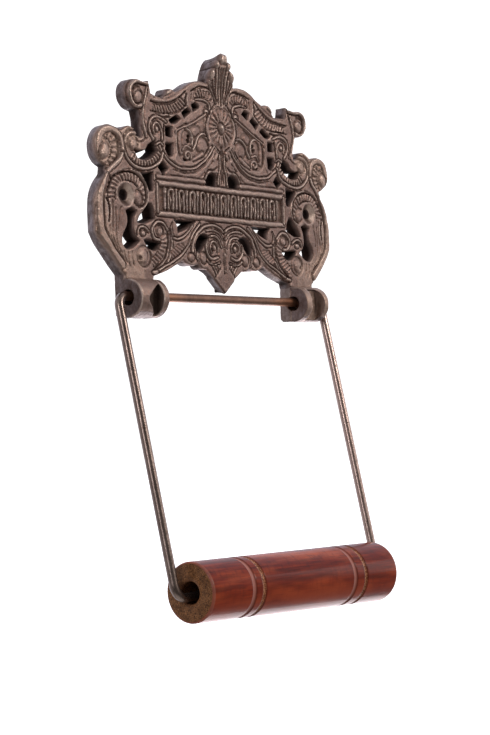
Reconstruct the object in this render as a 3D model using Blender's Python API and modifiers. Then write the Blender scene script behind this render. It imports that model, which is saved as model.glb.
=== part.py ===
"""A cast-iron wall holder for a paper roll, as three pieces that come apart on a bench: an openwork back plate
with two knuckle lugs, a bent-wire bail that swings in the lugs, and a bored wooden roller that turns on the
bail's two in-turned ends.

The frame has +X along the roller, -Y out from the wall and +Z up. The plate's flat back lies in Y = 0, and its
two screw holes are centred on Z = 0. Lengths are in millimetres, and MM turns them into Blender's metres.
"""

import math

import bmesh
import bpy
from mathutils import Matrix, Vector

MM = 0.001

# Back plate: a flat openwork casting with a raised name frame, turned bosses and a curled crest.
PLATE_THICKNESS = 6.1
PLATE_CURVE_STEPS = 3
SCREW_X = 59.3
SCREW_HOLE_RADIUS = 2.5
COUNTERSINK_RADIUS = 4.3
COUNTERSINK_DEPTH = 2.0
FRAME_OUTER = (42.3, 6.9)
FRAME_INNER = (40.3, 4.9)
RAISED_BY = 1.0
SUNK_BY = 1.2
CREST_CENTRE = (0.0, -5.0, 55.3)
CREST_RADII = (4.6, 4.6, 6.2)

# Knuckle lugs: one at each lower corner, cast in one with the plate. A wedge-shaped pocket in the front of each
# leaves a thin ear on its inner side.
LUG_INNER_X = 44.5
LUG_OUTER_X = 60.8
POCKET_BACK_Y = -10.1
KNUCKLE_Y = -7.1
KNUCKLE_Z = -40.0
KNUCKLE_RADIUS = 7.6
LUG_TOP_Z = -30.0
ROD_HOLE_Y = -6.85
ROD_HOLE_Z = -39.8
ROD_HOLE_RADIUS = 3.0

# Bail: one length of round wire. Its rod lies in the lugs, and its ends turn in towards each other.
WIRE_RADIUS = 1.85
ROD_Y = -6.25
ROD_Z = -39.2
ARM_X = 65.9
BAIL_LENGTH = 117.3
SWING_OUT = math.radians(12.7)
TOP_BEND_RADIUS = 4.4
END_BEND_RADIUS = 5.4
END_X = 47.5
BEND_STEPS = 6

# Roller: turned hardwood, bored right through, with two scored rings towards each end.
ROLLER_HALF = 60.0
ROLLER_RADIUS = 11.8
ROLLER_CHAMFER = 0.7
BORE_RADIUS = 4.4
BORE_PLAY = 2.25
RING_X = (-35.5, -29.4, 30.7, 38.2)
RING_HALF_WIDTH = 0.6
RING_DEPTH = 0.45
ROLLER_SIDES = 40
# The loose bore lets the roller lie askew: where each end's axis sits round the wire, in the bail's own plane.
LEFT_LEAN = math.radians(143.0)
RIGHT_LEAN = math.radians(232.5)

# The right half of the plate's outline from the top of the crest to the tip of the drop, as (x, z), and "c"
# after a point makes it a corner.
OUTLINE = [
    (0, 62.6), (1.9, 61.8, "c"), (2.1, 59.6, "c"), (3.9, 59.3), (4.9, 57.8), (4.7, 56.1, "c"), (6.6, 55.4),
    (8.0, 53.4), (8.0, 50.6), (8.3, 49.3, "c"), (12.0, 49.7), (16.0, 49.2), (20.0, 47.6), (24.0, 45.3),
    (28.0, 43.5, "c"), (31.0, 44.3), (33.6, 43.7), (34.6, 41.8), (36.0, 40.1, "c"), (40.0, 40.2),
    (44.0, 40.6, "c"), (45.0, 45.4, "c"), (47.6, 44.3), (50.0, 44.2), (54.0, 44.7), (57.2, 42.8), (58.4, 39.6),
    (57.6, 36.2), (54.8, 33.7), (51.0, 32.9, "c"), (49.8, 30.2), (49.2, 26.6), (49.4, 23.2, "c"), (51.6, 23.5),
    (53.8, 26.2, "c"), (56.4, 26.9), (59.2, 25.9), (61.5, 24.4, "c"), (64.4, 25.2), (68.3, 25.5), (72.0, 23.6),
    (74.4, 19.7), (73.9, 15.2), (71.2, 11.9), (67.9, 10.2, "c"), (68.0, 7.6, "c"), (71.0, 4.0), (73.6, -0.8),
    (75.0, -6.0), (75.1, -11.0), (75.0, -15.0, "c"), (72.3, -19.2), (68.6, -23.2), (64.6, -27.4),
    (60.8, -31.0, "c"), (60.8, -33.0, "c"), (44.5, -33.0, "c"), (44.0, -31.0, "c"), (40.5, -30.0),
    (35.2, -28.3), (30.5, -26.2), (26.4, -24.6, "c"), (24.2, -26.0), (20.3, -26.8), (16.4, -25.6, "c"),
    (14.4, -27.0), (11.4, -27.2, "c"), (9.2, -28.4), (6.6, -30.8, "c"), (6.3, -31.6, "c"), (3.2, -34.4),
    (0, -36.6, "c"),
]

# The right half's piercings.
PIERCINGS = [
    # three under the crest arm and two beside the field
    [(13.6, 39.2, "c"), (15.6, 40.9, "c"), (18.3, 39.7, "c"), (17.4, 37.0, "c")],
    [(19.3, 36.8, "c"), (21.3, 38.2, "c"), (25.0, 36.0, "c"), (23.4, 33.9, "c")],
    [(26.0, 33.2, "c"), (28.0, 34.6, "c"), (32.9, 31.9, "c"), (31.2, 30.6, "c"), (28.6, 31.2, "c")],
    [(31.0, 29.0, "c"), (34.8, 28.9, "c"), (34.8, 25.2, "c"), (31.0, 25.0, "c")],
    [(30.5, 22.4, "c"), (34.9, 22.3, "c"), (35.2, 19.6, "c"), (32.9, 16.9, "c"), (30.9, 17.8, "c")],
    # the crescent in the side scroll, and the diamond below it
    [(41.7, 22.6, "c"), (40.1, 18.6, "c"), (43.6, 15.9), (48.0, 14.5), (51.8, 15.4), (53.6, 18.2, "c"),
     (50.0, 17.8), (47.2, 18.4), (45.6, 20.4)],
    [(34.6, 12.1, "c"), (36.8, 14.7, "c"), (39.9, 12.1, "c"), (37.1, 9.6, "c")],
    # above and below the end of the name frame
    [(43.2, 10.1, "c"), (46.0, 9.5), (50.0, 9.1, "c"), (48.0, 6.2), (46.6, 4.4), (45.4, 2.4, "c"),
     (43.4, 3.0), (43.2, 6.0)],
    [(45.0, -2.6, "c"), (47.2, -3.0), (49.0, -5.4), (51.6, -8.0), (52.8, -10.3, "c"), (48.8, -10.4),
     (45.2, -9.2), (42.8, -8.2, "c"), (43.6, -5.0)],
    # beside and below the screw hole
    [(53.6, -6.0, "c"), (56.4, -5.0), (59.4, -6.2, "c"), (58.6, -8.8), (59.0, -12.0), (61.2, -15.4),
     (61.6, -18.6), (59.4, -20.8), (55.8, -20.0), (52.2, -17.6, "c"), (54.6, -15.4), (55.6, -12.6),
     (55.2, -8.8)],
    [(39.6, -17.8, "c"), (43.4, -17.2), (47.0, -16.8), (49.4, -16.9, "c"), (47.8, -19.2), (45.0, -20.7),
     (42.2, -20.4)],
    # under the frame, in the centre scroll and over the frame
    [(18.0, -7.9, "c"), (31.0, -8.0, "c"), (29.4, -10.0), (29.0, -12.9, "c"), (24.2, -11.2)],
    [(9.4, -14.1, "c"), (12.4, -12.9), (15.8, -13.6), (18.0, -16.6), (18.2, -19.4), (16.2, -20.6, "c"),
     (14.0, -18.6), (12.0, -16.2)],
    [(4.3, 7.4, "c"), (3.8, 10.9), (5.2, 12.4), (8.4, 11.9), (10.6, 9.6), (10.7, 7.4, "c")],
]

# The right lug's pocket, seen from the front.
POCKET = [
    (47.9, -34.2, "c"), (50.2, -35.0), (54.0, -37.4), (56.6, -39.8, "c"), (56.4, -41.4), (54.4, -43.4),
    (51.2, -46.2), (48.8, -48.6, "c"), (47.9, -48.6, "c"),
]

# Turned bosses at the eyes of the scrolls, on the right half: (x, z, radius).
BOSSES = [(53.6, 39.4, 4.6), (68.8, 18.4, 5.4), (41.0, 27.6, 3.4), (40.4, -13.8, 3.4), (50.0, -24.2, 2.8),
          (8.3, -18.9, 3.2)]
ROSETTE = (0.0, 31.4, 6.0)
BOSS_SIDES = 20

# Rotations that lay a flat outline's own X, Y and Z along the object's axes.
FACING_FRONT = Matrix(((1, 0, 0), (0, 0, -1), (0, 1, 0))).to_4x4()
FACING_SIDE = Matrix(((0, 0, -1), (-1, 0, 0), (0, 1, 0))).to_4x4()
ALONG_X = Matrix.Rotation(math.radians(90), 4, "Y")


def clear_scene():
    for obj in list(bpy.data.objects):
        bpy.data.objects.remove(obj, do_unlink=True)


def new_collection(name):
    collection = bpy.data.collections.new(name)
    bpy.context.scene.collection.children.link(collection)
    return collection


def material(name, colour, roughness, metallic):
    made = bpy.data.materials.new(name)
    made.use_nodes = True
    shader = made.node_tree.nodes["Principled BSDF"]
    shader.inputs["Base Color"].default_value = (*colour, 1.0)
    shader.inputs["Roughness"].default_value = roughness
    shader.inputs["Metallic"].default_value = metallic
    return made


def link(name, data, collection, matrix):
    obj = bpy.data.objects.new(name, data)
    obj.matrix_world = matrix
    collection.objects.link(obj)
    return obj


def mirrored(points):
    """The same outline on the other side of X = 0, in reverse, without the points that lie on it."""
    return [(-point[0], *point[1:]) for point in reversed(points) if point[0] > 0]


def add_bezier(curve, points):
    spline = curve.splines.new("BEZIER")
    spline.bezier_points.add(len(points) - 1)
    spline.use_cyclic_u = True
    for knot, point in zip(spline.bezier_points, points):
        knot.co = (point[0] * MM, point[1] * MM, 0.0)
        handle = "VECTOR" if len(point) > 2 else "AUTO"
        knot.handle_left_type = handle
        knot.handle_right_type = handle


def to_mesh(obj, collection):
    """Replaces a curve object by a mesh object with welded caps."""
    bpy.context.view_layer.update()
    graph = bpy.context.evaluated_depsgraph_get()
    mesh = bpy.data.meshes.new_from_object(obj.evaluated_get(graph))
    shape = bmesh.new()
    shape.from_mesh(mesh)
    bmesh.ops.remove_doubles(shape, verts=shape.verts, dist=1e-6)
    shape.to_mesh(mesh)
    shape.free()
    name, matrix = obj.name, obj.matrix_world.copy()
    bpy.data.objects.remove(obj, do_unlink=True)
    return link(name, mesh, collection, matrix)


def flat_piece(name, outlines, thickness, matrix, collection, steps=PLATE_CURVE_STEPS):
    """A flat outline, with any further outlines as holes in it, given a thickness about its own plane."""
    curve = bpy.data.curves.new(name, "CURVE")
    curve.dimensions = "2D"
    curve.fill_mode = "BOTH"
    curve.resolution_u = steps
    curve.extrude = thickness * MM / 2
    for outline in outlines:
        add_bezier(curve, outline)
    return to_mesh(link(name, curve, collection, matrix), collection)


def turned_bmesh(radius_back, radius_front, depth, sides, matrix):
    shape = bmesh.new()
    bmesh.ops.create_cone(
        shape, cap_ends=True, segments=sides, radius1=radius_back * MM, radius2=radius_front * MM,
        depth=depth * MM, matrix=matrix,
    )
    return shape


def bmesh_object(name, shape, collection):
    mesh = bpy.data.meshes.new(name)
    shape.to_mesh(mesh)
    shape.free()
    return link(name, mesh, collection, Matrix.Identity(4))


def at(x, y, z):
    return Matrix.Translation((x * MM, y * MM, z * MM))


def boolean(obj, other, operation):
    modifier = obj.modifiers.new(other.name, "BOOLEAN")
    modifier.operation = operation
    modifier.solver = "EXACT"
    modifier.object = other
    other.hide_render = True
    other.display_type = "WIRE"


def rectangle(half_width, half_height):
    return [(sx * half_width, sz * half_height, "c") for sx, sz in ((-1, -1), (1, -1), (1, 1), (-1, 1))]


def lug_profile():
    """The lug from the side, as distance out from the wall and height: square behind, round in front."""
    reach = -KNUCKLE_Y
    arc = [math.radians(90 - 180 * step / 12) for step in range(13)]
    front = [(reach + KNUCKLE_RADIUS * math.cos(a), KNUCKLE_Z + KNUCKLE_RADIUS * math.sin(a), "c") for a in arc]
    bottom = KNUCKLE_Z - KNUCKLE_RADIUS
    shoulder = PLATE_THICKNESS - 0.6
    return [(0, LUG_TOP_Z, "c"), (shoulder, LUG_TOP_Z, "c"), (shoulder, KNUCKLE_Z + KNUCKLE_RADIUS, "c"), *front,
            (1.2, bottom, "c"), (0, bottom + 1.2, "c")]


def make_plate(parts, helpers):
    outline = OUTLINE + mirrored(OUTLINE)
    holes = PIERCINGS + [mirrored(hole) for hole in PIERCINGS]
    mid_plane = FACING_FRONT.copy()
    mid_plane.translation = (0, -PLATE_THICKNESS / 2 * MM, 0)
    plate = flat_piece("back_plate", [outline, *holes], PLATE_THICKNESS, mid_plane, parts)

    raised = RAISED_BY + SUNK_BY
    front = FACING_FRONT.copy()
    front.translation = (0, (-PLATE_THICKNESS - RAISED_BY + raised / 2) * MM, 0)
    frame = flat_piece("name_frame", [rectangle(*FRAME_OUTER), rectangle(*FRAME_INNER)], raised, front, helpers)
    boolean(plate, frame, "UNION")

    spots = [ROSETTE, *BOSSES, *[(-x, z, radius) for x, z, radius in BOSSES]]
    outward = Matrix.Rotation(math.radians(90), 4, "X")
    for index, (x, z, radius) in enumerate(spots):
        place = at(x, -PLATE_THICKNESS - RAISED_BY + raised / 2, z) @ outward
        shape = turned_bmesh(radius, radius * 0.7, raised, BOSS_SIDES, place)
        boolean(plate, bmesh_object(f"boss_{index}", shape, helpers), "UNION")

    shape = bmesh.new()
    radii = Matrix.Diagonal((*[radius * MM for radius in CREST_RADII], 1.0))
    bmesh.ops.create_uvsphere(shape, u_segments=16, v_segments=10, radius=1.0, matrix=at(*CREST_CENTRE) @ radii)
    boolean(plate, bmesh_object("crest_curl", shape, helpers), "UNION")

    width = LUG_OUTER_X - LUG_INNER_X
    for side, name in ((-1, "left"), (1, "right")):
        place = FACING_SIDE.copy()
        place.translation = (side * (LUG_INNER_X + LUG_OUTER_X) / 2 * MM, 0, 0)
        boolean(plate, flat_piece(f"{name}_lug", [lug_profile()], width, place, helpers, 1), "UNION")
    for side, name in ((-1, "left"), (1, "right")):
        pocket = FACING_FRONT.copy()
        front = KNUCKLE_Y - KNUCKLE_RADIUS - 1.0
        pocket.translation = (0, (front + POCKET_BACK_Y) / 2 * MM, 0)
        outline = POCKET if side > 0 else mirrored(POCKET)
        piece = flat_piece(f"{name}_pocket", [outline], POCKET_BACK_Y - front, pocket, helpers)
        boolean(plate, piece, "DIFFERENCE")
        eye = at(side * (LUG_INNER_X + LUG_OUTER_X) / 2, ROD_HOLE_Y, ROD_HOLE_Z) @ ALONG_X
        shape = turned_bmesh(ROD_HOLE_RADIUS, ROD_HOLE_RADIUS, width + 4, 24, eye)
        boolean(plate, bmesh_object(f"{name}_rod_hole", shape, helpers), "DIFFERENCE")
        through = at(side * SCREW_X, -PLATE_THICKNESS / 2, 0) @ outward
        shape = turned_bmesh(SCREW_HOLE_RADIUS, SCREW_HOLE_RADIUS, 2 * PLATE_THICKNESS, 20, through)
        boolean(plate, bmesh_object(f"{name}_screw_hole", shape, helpers), "DIFFERENCE")
        spare = 0.5
        slope = (COUNTERSINK_RADIUS - SCREW_HOLE_RADIUS) / COUNTERSINK_DEPTH
        depth = COUNTERSINK_DEPTH + 2 * spare
        middle = at(side * SCREW_X, -PLATE_THICKNESS + COUNTERSINK_DEPTH / 2, 0) @ outward
        shape = turned_bmesh(
            SCREW_HOLE_RADIUS - slope * spare, COUNTERSINK_RADIUS + slope * spare, depth, 20, middle
        )
        boolean(plate, bmesh_object(f"{name}_countersink", shape, helpers), "DIFFERENCE")
    return plate


def rounded_path(corners, radii):
    """The corners joined by straight runs, with each inner corner turned through an arc of its own radius."""
    path = [Vector(corners[0])]
    for before, corner, after, radius in zip(corners, corners[1:], corners[2:], radii):
        corner = Vector(corner)
        back = (Vector(before) - corner).normalized()
        ahead = (Vector(after) - corner).normalized()
        half = back.angle(ahead) / 2
        centre = corner + (back + ahead).normalized() * radius / math.sin(half)
        start = corner + back * radius / math.tan(half) - centre
        end = corner + ahead * radius / math.tan(half) - centre
        path += [centre + start.slerp(end, step / BEND_STEPS) * radius for step in range(BEND_STEPS + 1)]
    return [*path, Vector(corners[-1])]


def make_bail(parts, axis):
    """The wire in the bail's own plane: the rod along local X through the axis, and the arms straight down."""
    corners = [
        (-END_X, 0, -BAIL_LENGTH), (-ARM_X, 0, -BAIL_LENGTH), (-ARM_X, 0, 0),
        (ARM_X, 0, 0), (ARM_X, 0, -BAIL_LENGTH), (END_X, 0, -BAIL_LENGTH),
    ]
    radii = (END_BEND_RADIUS, TOP_BEND_RADIUS, TOP_BEND_RADIUS, END_BEND_RADIUS)
    path = rounded_path(corners, radii)
    curve = bpy.data.curves.new("wire_bail", "CURVE")
    curve.dimensions = "3D"
    curve.bevel_depth = WIRE_RADIUS * MM
    curve.bevel_resolution = 2
    curve.use_fill_caps = True
    spline = curve.splines.new("POLY")
    spline.points.add(len(path) - 1)
    for knot, point in zip(spline.points, path):
        knot.co = (*(point * MM), 1.0)
    bail = link("wire_bail", curve, parts, Matrix.Identity(4))
    bail.parent = axis
    return bail


def roller_profile():
    """Half the roller's section, as (distance along its axis, radius), from its right end to its left one and
    back along the bore."""
    section = [(ROLLER_HALF, BORE_RADIUS), (ROLLER_HALF, ROLLER_RADIUS - ROLLER_CHAMFER),
               (ROLLER_HALF - ROLLER_CHAMFER, ROLLER_RADIUS)]
    for x in reversed(RING_X):
        section += [(x + RING_HALF_WIDTH, ROLLER_RADIUS), (x, ROLLER_RADIUS - RING_DEPTH),
                    (x - RING_HALF_WIDTH, ROLLER_RADIUS)]
    section += [(ROLLER_CHAMFER - ROLLER_HALF, ROLLER_RADIUS), (-ROLLER_HALF, ROLLER_RADIUS - ROLLER_CHAMFER),
                (-ROLLER_HALF, BORE_RADIUS)]
    return section


def make_roller(parts, axis):
    section = roller_profile()
    shape = bmesh.new()
    knots = [shape.verts.new((radius * MM, 0.0, along * MM)) for along, radius in section]
    for first, second in zip(knots, knots[1:] + knots[:1]):
        shape.edges.new((first, second))
    mesh = bpy.data.meshes.new("wooden_roller")
    shape.to_mesh(mesh)
    shape.free()

    def end_point(x, lean):
        return Vector((x, BORE_PLAY * math.cos(lean), BORE_PLAY * math.sin(lean) - BAIL_LENGTH))

    left = end_point(-ROLLER_HALF, LEFT_LEAN)
    right = end_point(ROLLER_HALF, RIGHT_LEAN)
    turn = (right - left).to_track_quat("Z", "Y").to_matrix().to_4x4()
    roller = link("wooden_roller", mesh, parts, Matrix.Translation((left + right) / 2 * MM) @ turn)
    roller.parent = axis
    screw = roller.modifiers.new("turned", "SCREW")
    screw.axis = "Z"
    screw.steps = ROLLER_SIDES
    screw.render_steps = ROLLER_SIDES
    screw.use_merge_vertices = True
    screw.merge_threshold = 1e-6
    return roller


def main():
    clear_scene()
    parts = new_collection("wall_roll_holder")
    helpers = new_collection("cutters")
    iron = material("bronzed_iron", (0.085, 0.062, 0.05), 0.5, 0.85)
    steel = material("worn_steel", (0.21, 0.15, 0.12), 0.35, 1.0)
    wood = material("varnished_wood", (0.15, 0.03, 0.015), 0.3, 0.0)

    plate = make_plate(parts, helpers)
    plate.data.materials.append(iron)

    axis = bpy.data.objects.new("bail_axis", None)
    axis.location = (0, ROD_Y * MM, ROD_Z * MM)
    axis.rotation_euler = (-SWING_OUT, 0, 0)
    parts.objects.link(axis)
    bail = make_bail(parts, axis)
    bail.data.materials.append(steel)
    roller = make_roller(parts, axis)
    roller.data.materials.append(wood)
    bpy.context.view_layer.update()


main()
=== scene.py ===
"""Looks of the wall roll holder: a relief-cast iron plate with knuckle lugs, a worn wire bail and a varnished
wooden roller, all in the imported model's frame (+X along the roller, -Y out from the wall, +Z up).
Lengths are in millimetres, and become metres as they go into Blender. The plate is drawn in (x, z)."""

import math

import bmesh
import bpy
import numpy as np
from mathutils import Matrix, Vector, kdtree
from mathutils.geometry import delaunay_2d_cdt


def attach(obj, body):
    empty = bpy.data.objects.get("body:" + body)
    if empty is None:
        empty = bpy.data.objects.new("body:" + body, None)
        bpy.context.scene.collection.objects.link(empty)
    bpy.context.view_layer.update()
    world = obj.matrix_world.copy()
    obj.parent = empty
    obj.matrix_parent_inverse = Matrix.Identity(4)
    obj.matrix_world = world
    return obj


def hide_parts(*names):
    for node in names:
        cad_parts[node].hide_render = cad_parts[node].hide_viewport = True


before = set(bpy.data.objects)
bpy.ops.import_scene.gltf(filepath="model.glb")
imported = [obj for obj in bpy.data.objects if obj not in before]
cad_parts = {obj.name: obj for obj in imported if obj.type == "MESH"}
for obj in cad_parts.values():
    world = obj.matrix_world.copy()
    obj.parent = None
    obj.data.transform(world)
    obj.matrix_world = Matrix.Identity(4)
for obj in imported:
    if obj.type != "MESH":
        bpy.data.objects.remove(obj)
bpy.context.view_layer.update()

MM = 0.001


def add_object(name, data):
    made = bpy.data.objects.new(name, data)
    bpy.context.scene.collection.objects.link(made)
    return made


# ---------------------------------------------------------------- camera

FOCAL_PX = 1701.0
IMAGE_HEIGHT_PX = 735.0
SENSOR_HEIGHT = 36.0
CLIP_M = (0.05, 20.0)
CAMERA_AT = (-544.3, -447.3, -76.8)
AZIMUTH, ELEVATION, ROLL = math.radians(-51.55), math.radians(-0.78), math.radians(-1.56)


def make_camera():
    data = bpy.data.cameras.new("camera")
    data.sensor_fit = "VERTICAL"
    data.sensor_height = SENSOR_HEIGHT
    data.lens = FOCAL_PX / IMAGE_HEIGHT_PX * SENSOR_HEIGHT
    data.clip_start, data.clip_end = CLIP_M
    back = Vector((math.sin(AZIMUTH) * math.cos(ELEVATION), -math.cos(AZIMUTH) * math.cos(ELEVATION),
                   math.sin(ELEVATION)))
    level = Vector((math.cos(AZIMUTH), math.sin(AZIMUTH), 0.0))
    upright = back.cross(level)
    right = math.cos(ROLL) * level + math.sin(ROLL) * upright
    up = -math.sin(ROLL) * level + math.cos(ROLL) * upright
    turn = Matrix((right, up, back)).transposed().to_4x4()
    camera = add_object("camera", data)
    camera.matrix_world = Matrix.Translation(Vector(CAMERA_AT) * MM) @ turn
    bpy.context.scene.camera = camera


make_camera()

# ---------------------------------------------------------------- curves, noise and meshes


def ease(t):
    return t * t * (3 - 2 * t)


def smooth_line(points, spacing, closed=False):
    """A polyline through the points at about this spacing; a point with a third item is a corner."""
    count = len(points)
    spots = np.array([point[:2] for point in points], float)
    corner = [len(point) > 2 for point in points]

    def tangent(i):
        if closed:
            before, after = spots[i - 1], spots[(i + 1) % count]
        else:
            before, after = spots[max(i - 1, 0)], spots[min(i + 1, count - 1)]
        return (after - before) / np.linalg.norm(after - before)

    line = []
    for i in range(count if closed else count - 1):
        j = (i + 1) % count
        chord = spots[j] - spots[i]
        length = np.linalg.norm(chord)
        start = chord / length if corner[i] else tangent(i)
        end = chord / length if corner[j] else tangent(j)
        t = np.linspace(0, 1, max(1, round(length / spacing)), endpoint=False)[:, None]
        line.append((2 * t**3 - 3 * t**2 + 1) * spots[i] + (t**3 - 2 * t**2 + t) * start * length
                    + (3 * t**2 - 2 * t**3) * spots[j] + (t**3 - t**2) * end * length)
    if not closed:
        line.append(spots[-1:])
    return np.concatenate(line)


def mesh_object(name, points, faces, material, smooth_angle):
    """A smooth-shaded object, sharp where faces meet at more than this angle, with its faces outwards."""
    mesh = bpy.data.meshes.new(name)
    mesh.from_pydata([tuple(p) for p in np.asarray(points) * MM], [], faces)
    mesh.validate()
    mesh.update()
    mesh.materials.append(material)
    mesh.shade_smooth()
    mesh.set_sharp_from_angle(angle=math.radians(smooth_angle))
    made = add_object(name, mesh)
    shape = bmesh.new()
    shape.from_mesh(mesh)
    bmesh.ops.recalc_face_normals(shape, faces=shape.faces)
    shape.to_mesh(mesh)
    shape.free()
    return made


def add_attributes(obj, **attributes):
    """Gives each point of the mesh a number or a vector, under the names that the materials read."""
    for name, values in attributes.items():
        values = np.asarray(values, np.float32)
        kind, member = ("FLOAT_VECTOR", "vector") if values.ndim == 2 else ("FLOAT", "value")
        obj.data.attributes.new(name, kind, "POINT").data.foreach_set(member, values.ravel())


def hash_noise(x, y, z, scale, seed):
    """Smooth value noise in 3-D, from -1 to 1, that repeats every 32 cells."""
    grid = np.random.default_rng(seed).uniform(-1, 1, (32, 32, 32))
    place = [np.asarray(c, float) / scale + 1000.0 for c in (x, y, z)]
    low = [np.floor(c).astype(int) for c in place]
    part = [ease(c - l) for c, l in zip(place, low)]
    total = 0
    for corner in range(8):
        bits = [(corner >> k) & 1 for k in range(3)]
        weight = np.prod([c if bit else 1 - c for c, bit in zip(part, bits)], axis=0)
        total = total + weight * grid[tuple((l + bit) % 32 for l, bit in zip(low, bits))]
    return total


def flat_noise(points, scale, seed, level=0.0):
    return hash_noise(points[:, 0], points[:, 1], np.full(len(points), level), scale, seed)


# ---------------------------------------------------------------- materials


class Nodes:
    """A short way to lay out the nodes of a material or a world."""

    def __init__(self, owner):
        owner.use_nodes = True
        self.owner = owner
        self.tree = owner.node_tree
        self.shader = self.tree.nodes.get("Principled BSDF") or self.tree.nodes["Background"]

    def node(self, kind, inputs=None, **settings):
        made = self.tree.nodes.new(kind)
        for key, value in settings.items():
            setattr(made, key, value)
        for key, value in (inputs or {}).items():
            self.wire(value, made.inputs[key])
        return made

    def wire(self, value, socket):
        if isinstance(value, bpy.types.Node):
            value = value.outputs[0]
        if isinstance(value, bpy.types.NodeSocket):
            self.tree.links.new(value, socket)
        else:
            socket.default_value = value

    def set(self, **values):
        for key, value in values.items():
            self.wire(value, self.shader.inputs[key.replace("_", " ")])

    def attribute(self, name, vector=False):
        made = self.node("ShaderNodeAttribute", attribute_name=name)
        return made.outputs["Vector" if vector else "Fac"]

    def place(self, scale, vector=None):
        """Object coordinates in units of this many millimetres along each axis."""
        if vector is None:
            vector = self.node("ShaderNodeTexCoord").outputs["Object"]
            scale = [s * MM for s in scale]
        return self.node("ShaderNodeVectorMath", {0: vector, 1: [1 / s for s in scale]}, operation="MULTIPLY")

    def noise(self, vector, detail=4.0, rough=0.55, distortion=0.0):
        return self.node("ShaderNodeTexNoise", {"Vector": vector, "Scale": 1.0, "Detail": detail,
                                                "Roughness": rough, "Distortion": distortion}).outputs[0]

    def ramp(self, value, *stops):
        made = self.node("ShaderNodeValToRGB", {0: value})
        elements = made.color_ramp.elements
        while len(elements) < len(stops):
            elements.new(0.5)
        for element, (position, colour) in zip(elements, stops):
            element.position = position
            grey = not isinstance(colour, tuple)
            element.color = (colour, colour, colour, 1.0) if grey else (*colour, 1.0)
        return made.outputs[0]

    def mix(self, factor, first, second, blend="MIX"):
        made = self.node("ShaderNodeMix", data_type="RGBA", blend_type=blend)
        for value, socket in zip((factor, first, second), (made.inputs[0], made.inputs[6], made.inputs[7])):
            self.wire((*value, 1.0) if isinstance(value, tuple) else value, socket)
        return made.outputs[2]

    def math(self, operation, *values, clamp=False):
        made = self.node("ShaderNodeMath", operation=operation, use_clamp=clamp)
        for value, socket in zip(values, made.inputs):
            self.wire(value, socket)
        return made.outputs[0]

    def bump(self, height, depth_mm, strength=1.0, below=None):
        inputs = {"Height": height, "Distance": depth_mm * MM, "Strength": strength}
        if below is not None:
            inputs["Normal"] = below
        return self.node("ShaderNodeBump", inputs).outputs[0]


def iron_material():
    n = Nodes(bpy.data.materials.new("bronzed_iron"))
    wear = n.attribute("wear")
    rear = n.attribute("rear")
    bright = n.attribute("bright")
    blotch = n.noise(n.place((9, 9, 9)), 5.0)
    grain = n.noise(n.place((0.55, 0.55, 0.55)), 3.0, 0.6)
    patina = n.mix(n.ramp(blotch, (0.35, 0.0), (0.7, 1.0)), (0.145, 0.094, 0.079), (0.2, 0.134, 0.112))
    # dirt where it lies low, and bare metal where it is rubbed; on the lugs it also paints shade in the
    # pocket and the rod's hole
    dirt = n.ramp(wear, (0.2, 1.0), (0.46, 0.0))
    colour = n.mix(dirt, patina, (0.076, 0.049, 0.038))
    rub = n.math("MULTIPLY", n.ramp(wear, (0.54, 0.0), (0.88, 1.0)), n.ramp(grain, (0.25, 0.45), (0.65, 1.0)))
    colour = n.mix(rub, colour, (0.37, 0.285, 0.24))
    tan = n.math("MULTIPLY", n.attribute("tan"), n.ramp(blotch, (0.3, 0.45), (0.6, 1.0)))
    colour = n.mix(tan, colour, (0.3, 0.21, 0.165))
    # the outer wall, painted shade in the holes, notches and hidden faces, a painted highlight on the
    # countersinks and the bright worn lug edges, and specks of dirt and rust
    streak = n.noise(n.place((2.2, 2.2, 3.4)), 5.0, 0.65)
    wall = n.mix(n.ramp(streak, (0.38, 0.0), (0.62, 1.0)), (0.055, 0.036, 0.032), (0.2, 0.165, 0.166))
    colour = n.mix(n.math("MULTIPLY", rear, 0.85), colour, wall)
    hollow = n.attribute("hollow")
    deep = n.mix(n.ramp(blotch, (0.4, 0.0), (0.7, 1.0)), (0.011, 0.006, 0.005), (0.035, 0.015, 0.009))
    colour = n.mix(hollow, colour, deep)
    colour = n.mix(bright, colour, (0.74, 0.57, 0.475))
    speckle = n.ramp(n.noise(n.place((1.5, 1.5, 1.5)), 4.0), (0.58, 0.0), (0.72, 1.0))
    colour = n.mix(n.math("MULTIPLY", speckle, 0.3), colour, (0.07, 0.038, 0.027))
    rusty = n.ramp(n.noise(n.place((0.9, 0.9, 0.9)), 4.0, 0.65), (0.54, 0.0), (0.66, 1.0))
    shown = n.math("MULTIPLY", n.math("SUBTRACT", 1.0, n.math("MAXIMUM", hollow, rear)), 0.42)
    colour = n.mix(n.math("MULTIPLY", rusty, shown), colour, (0.25, 0.105, 0.07))
    shut = n.math("SUBTRACT", 1.0, hollow)
    n.set(Base_Color=colour, Metallic=n.math("MULTIPLY", shut, 0.8), Specular_IOR_Level=0.1)
    smooth = n.ramp(n.math("ADD", n.math("MULTIPLY", rub, -0.3), grain), (0.1, 0.32), (0.75, 0.58))
    n.set(Roughness=n.math("ADD", smooth, n.math("MULTIPLY", hollow, 0.4), clamp=True))
    pits = n.noise(n.place((1.1, 1.1, 1.1)), 4.0)
    n.set(Normal=n.bump(grain, 0.05, 1.0, n.bump(pits, 0.17, 0.9)))
    return n.owner


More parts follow.
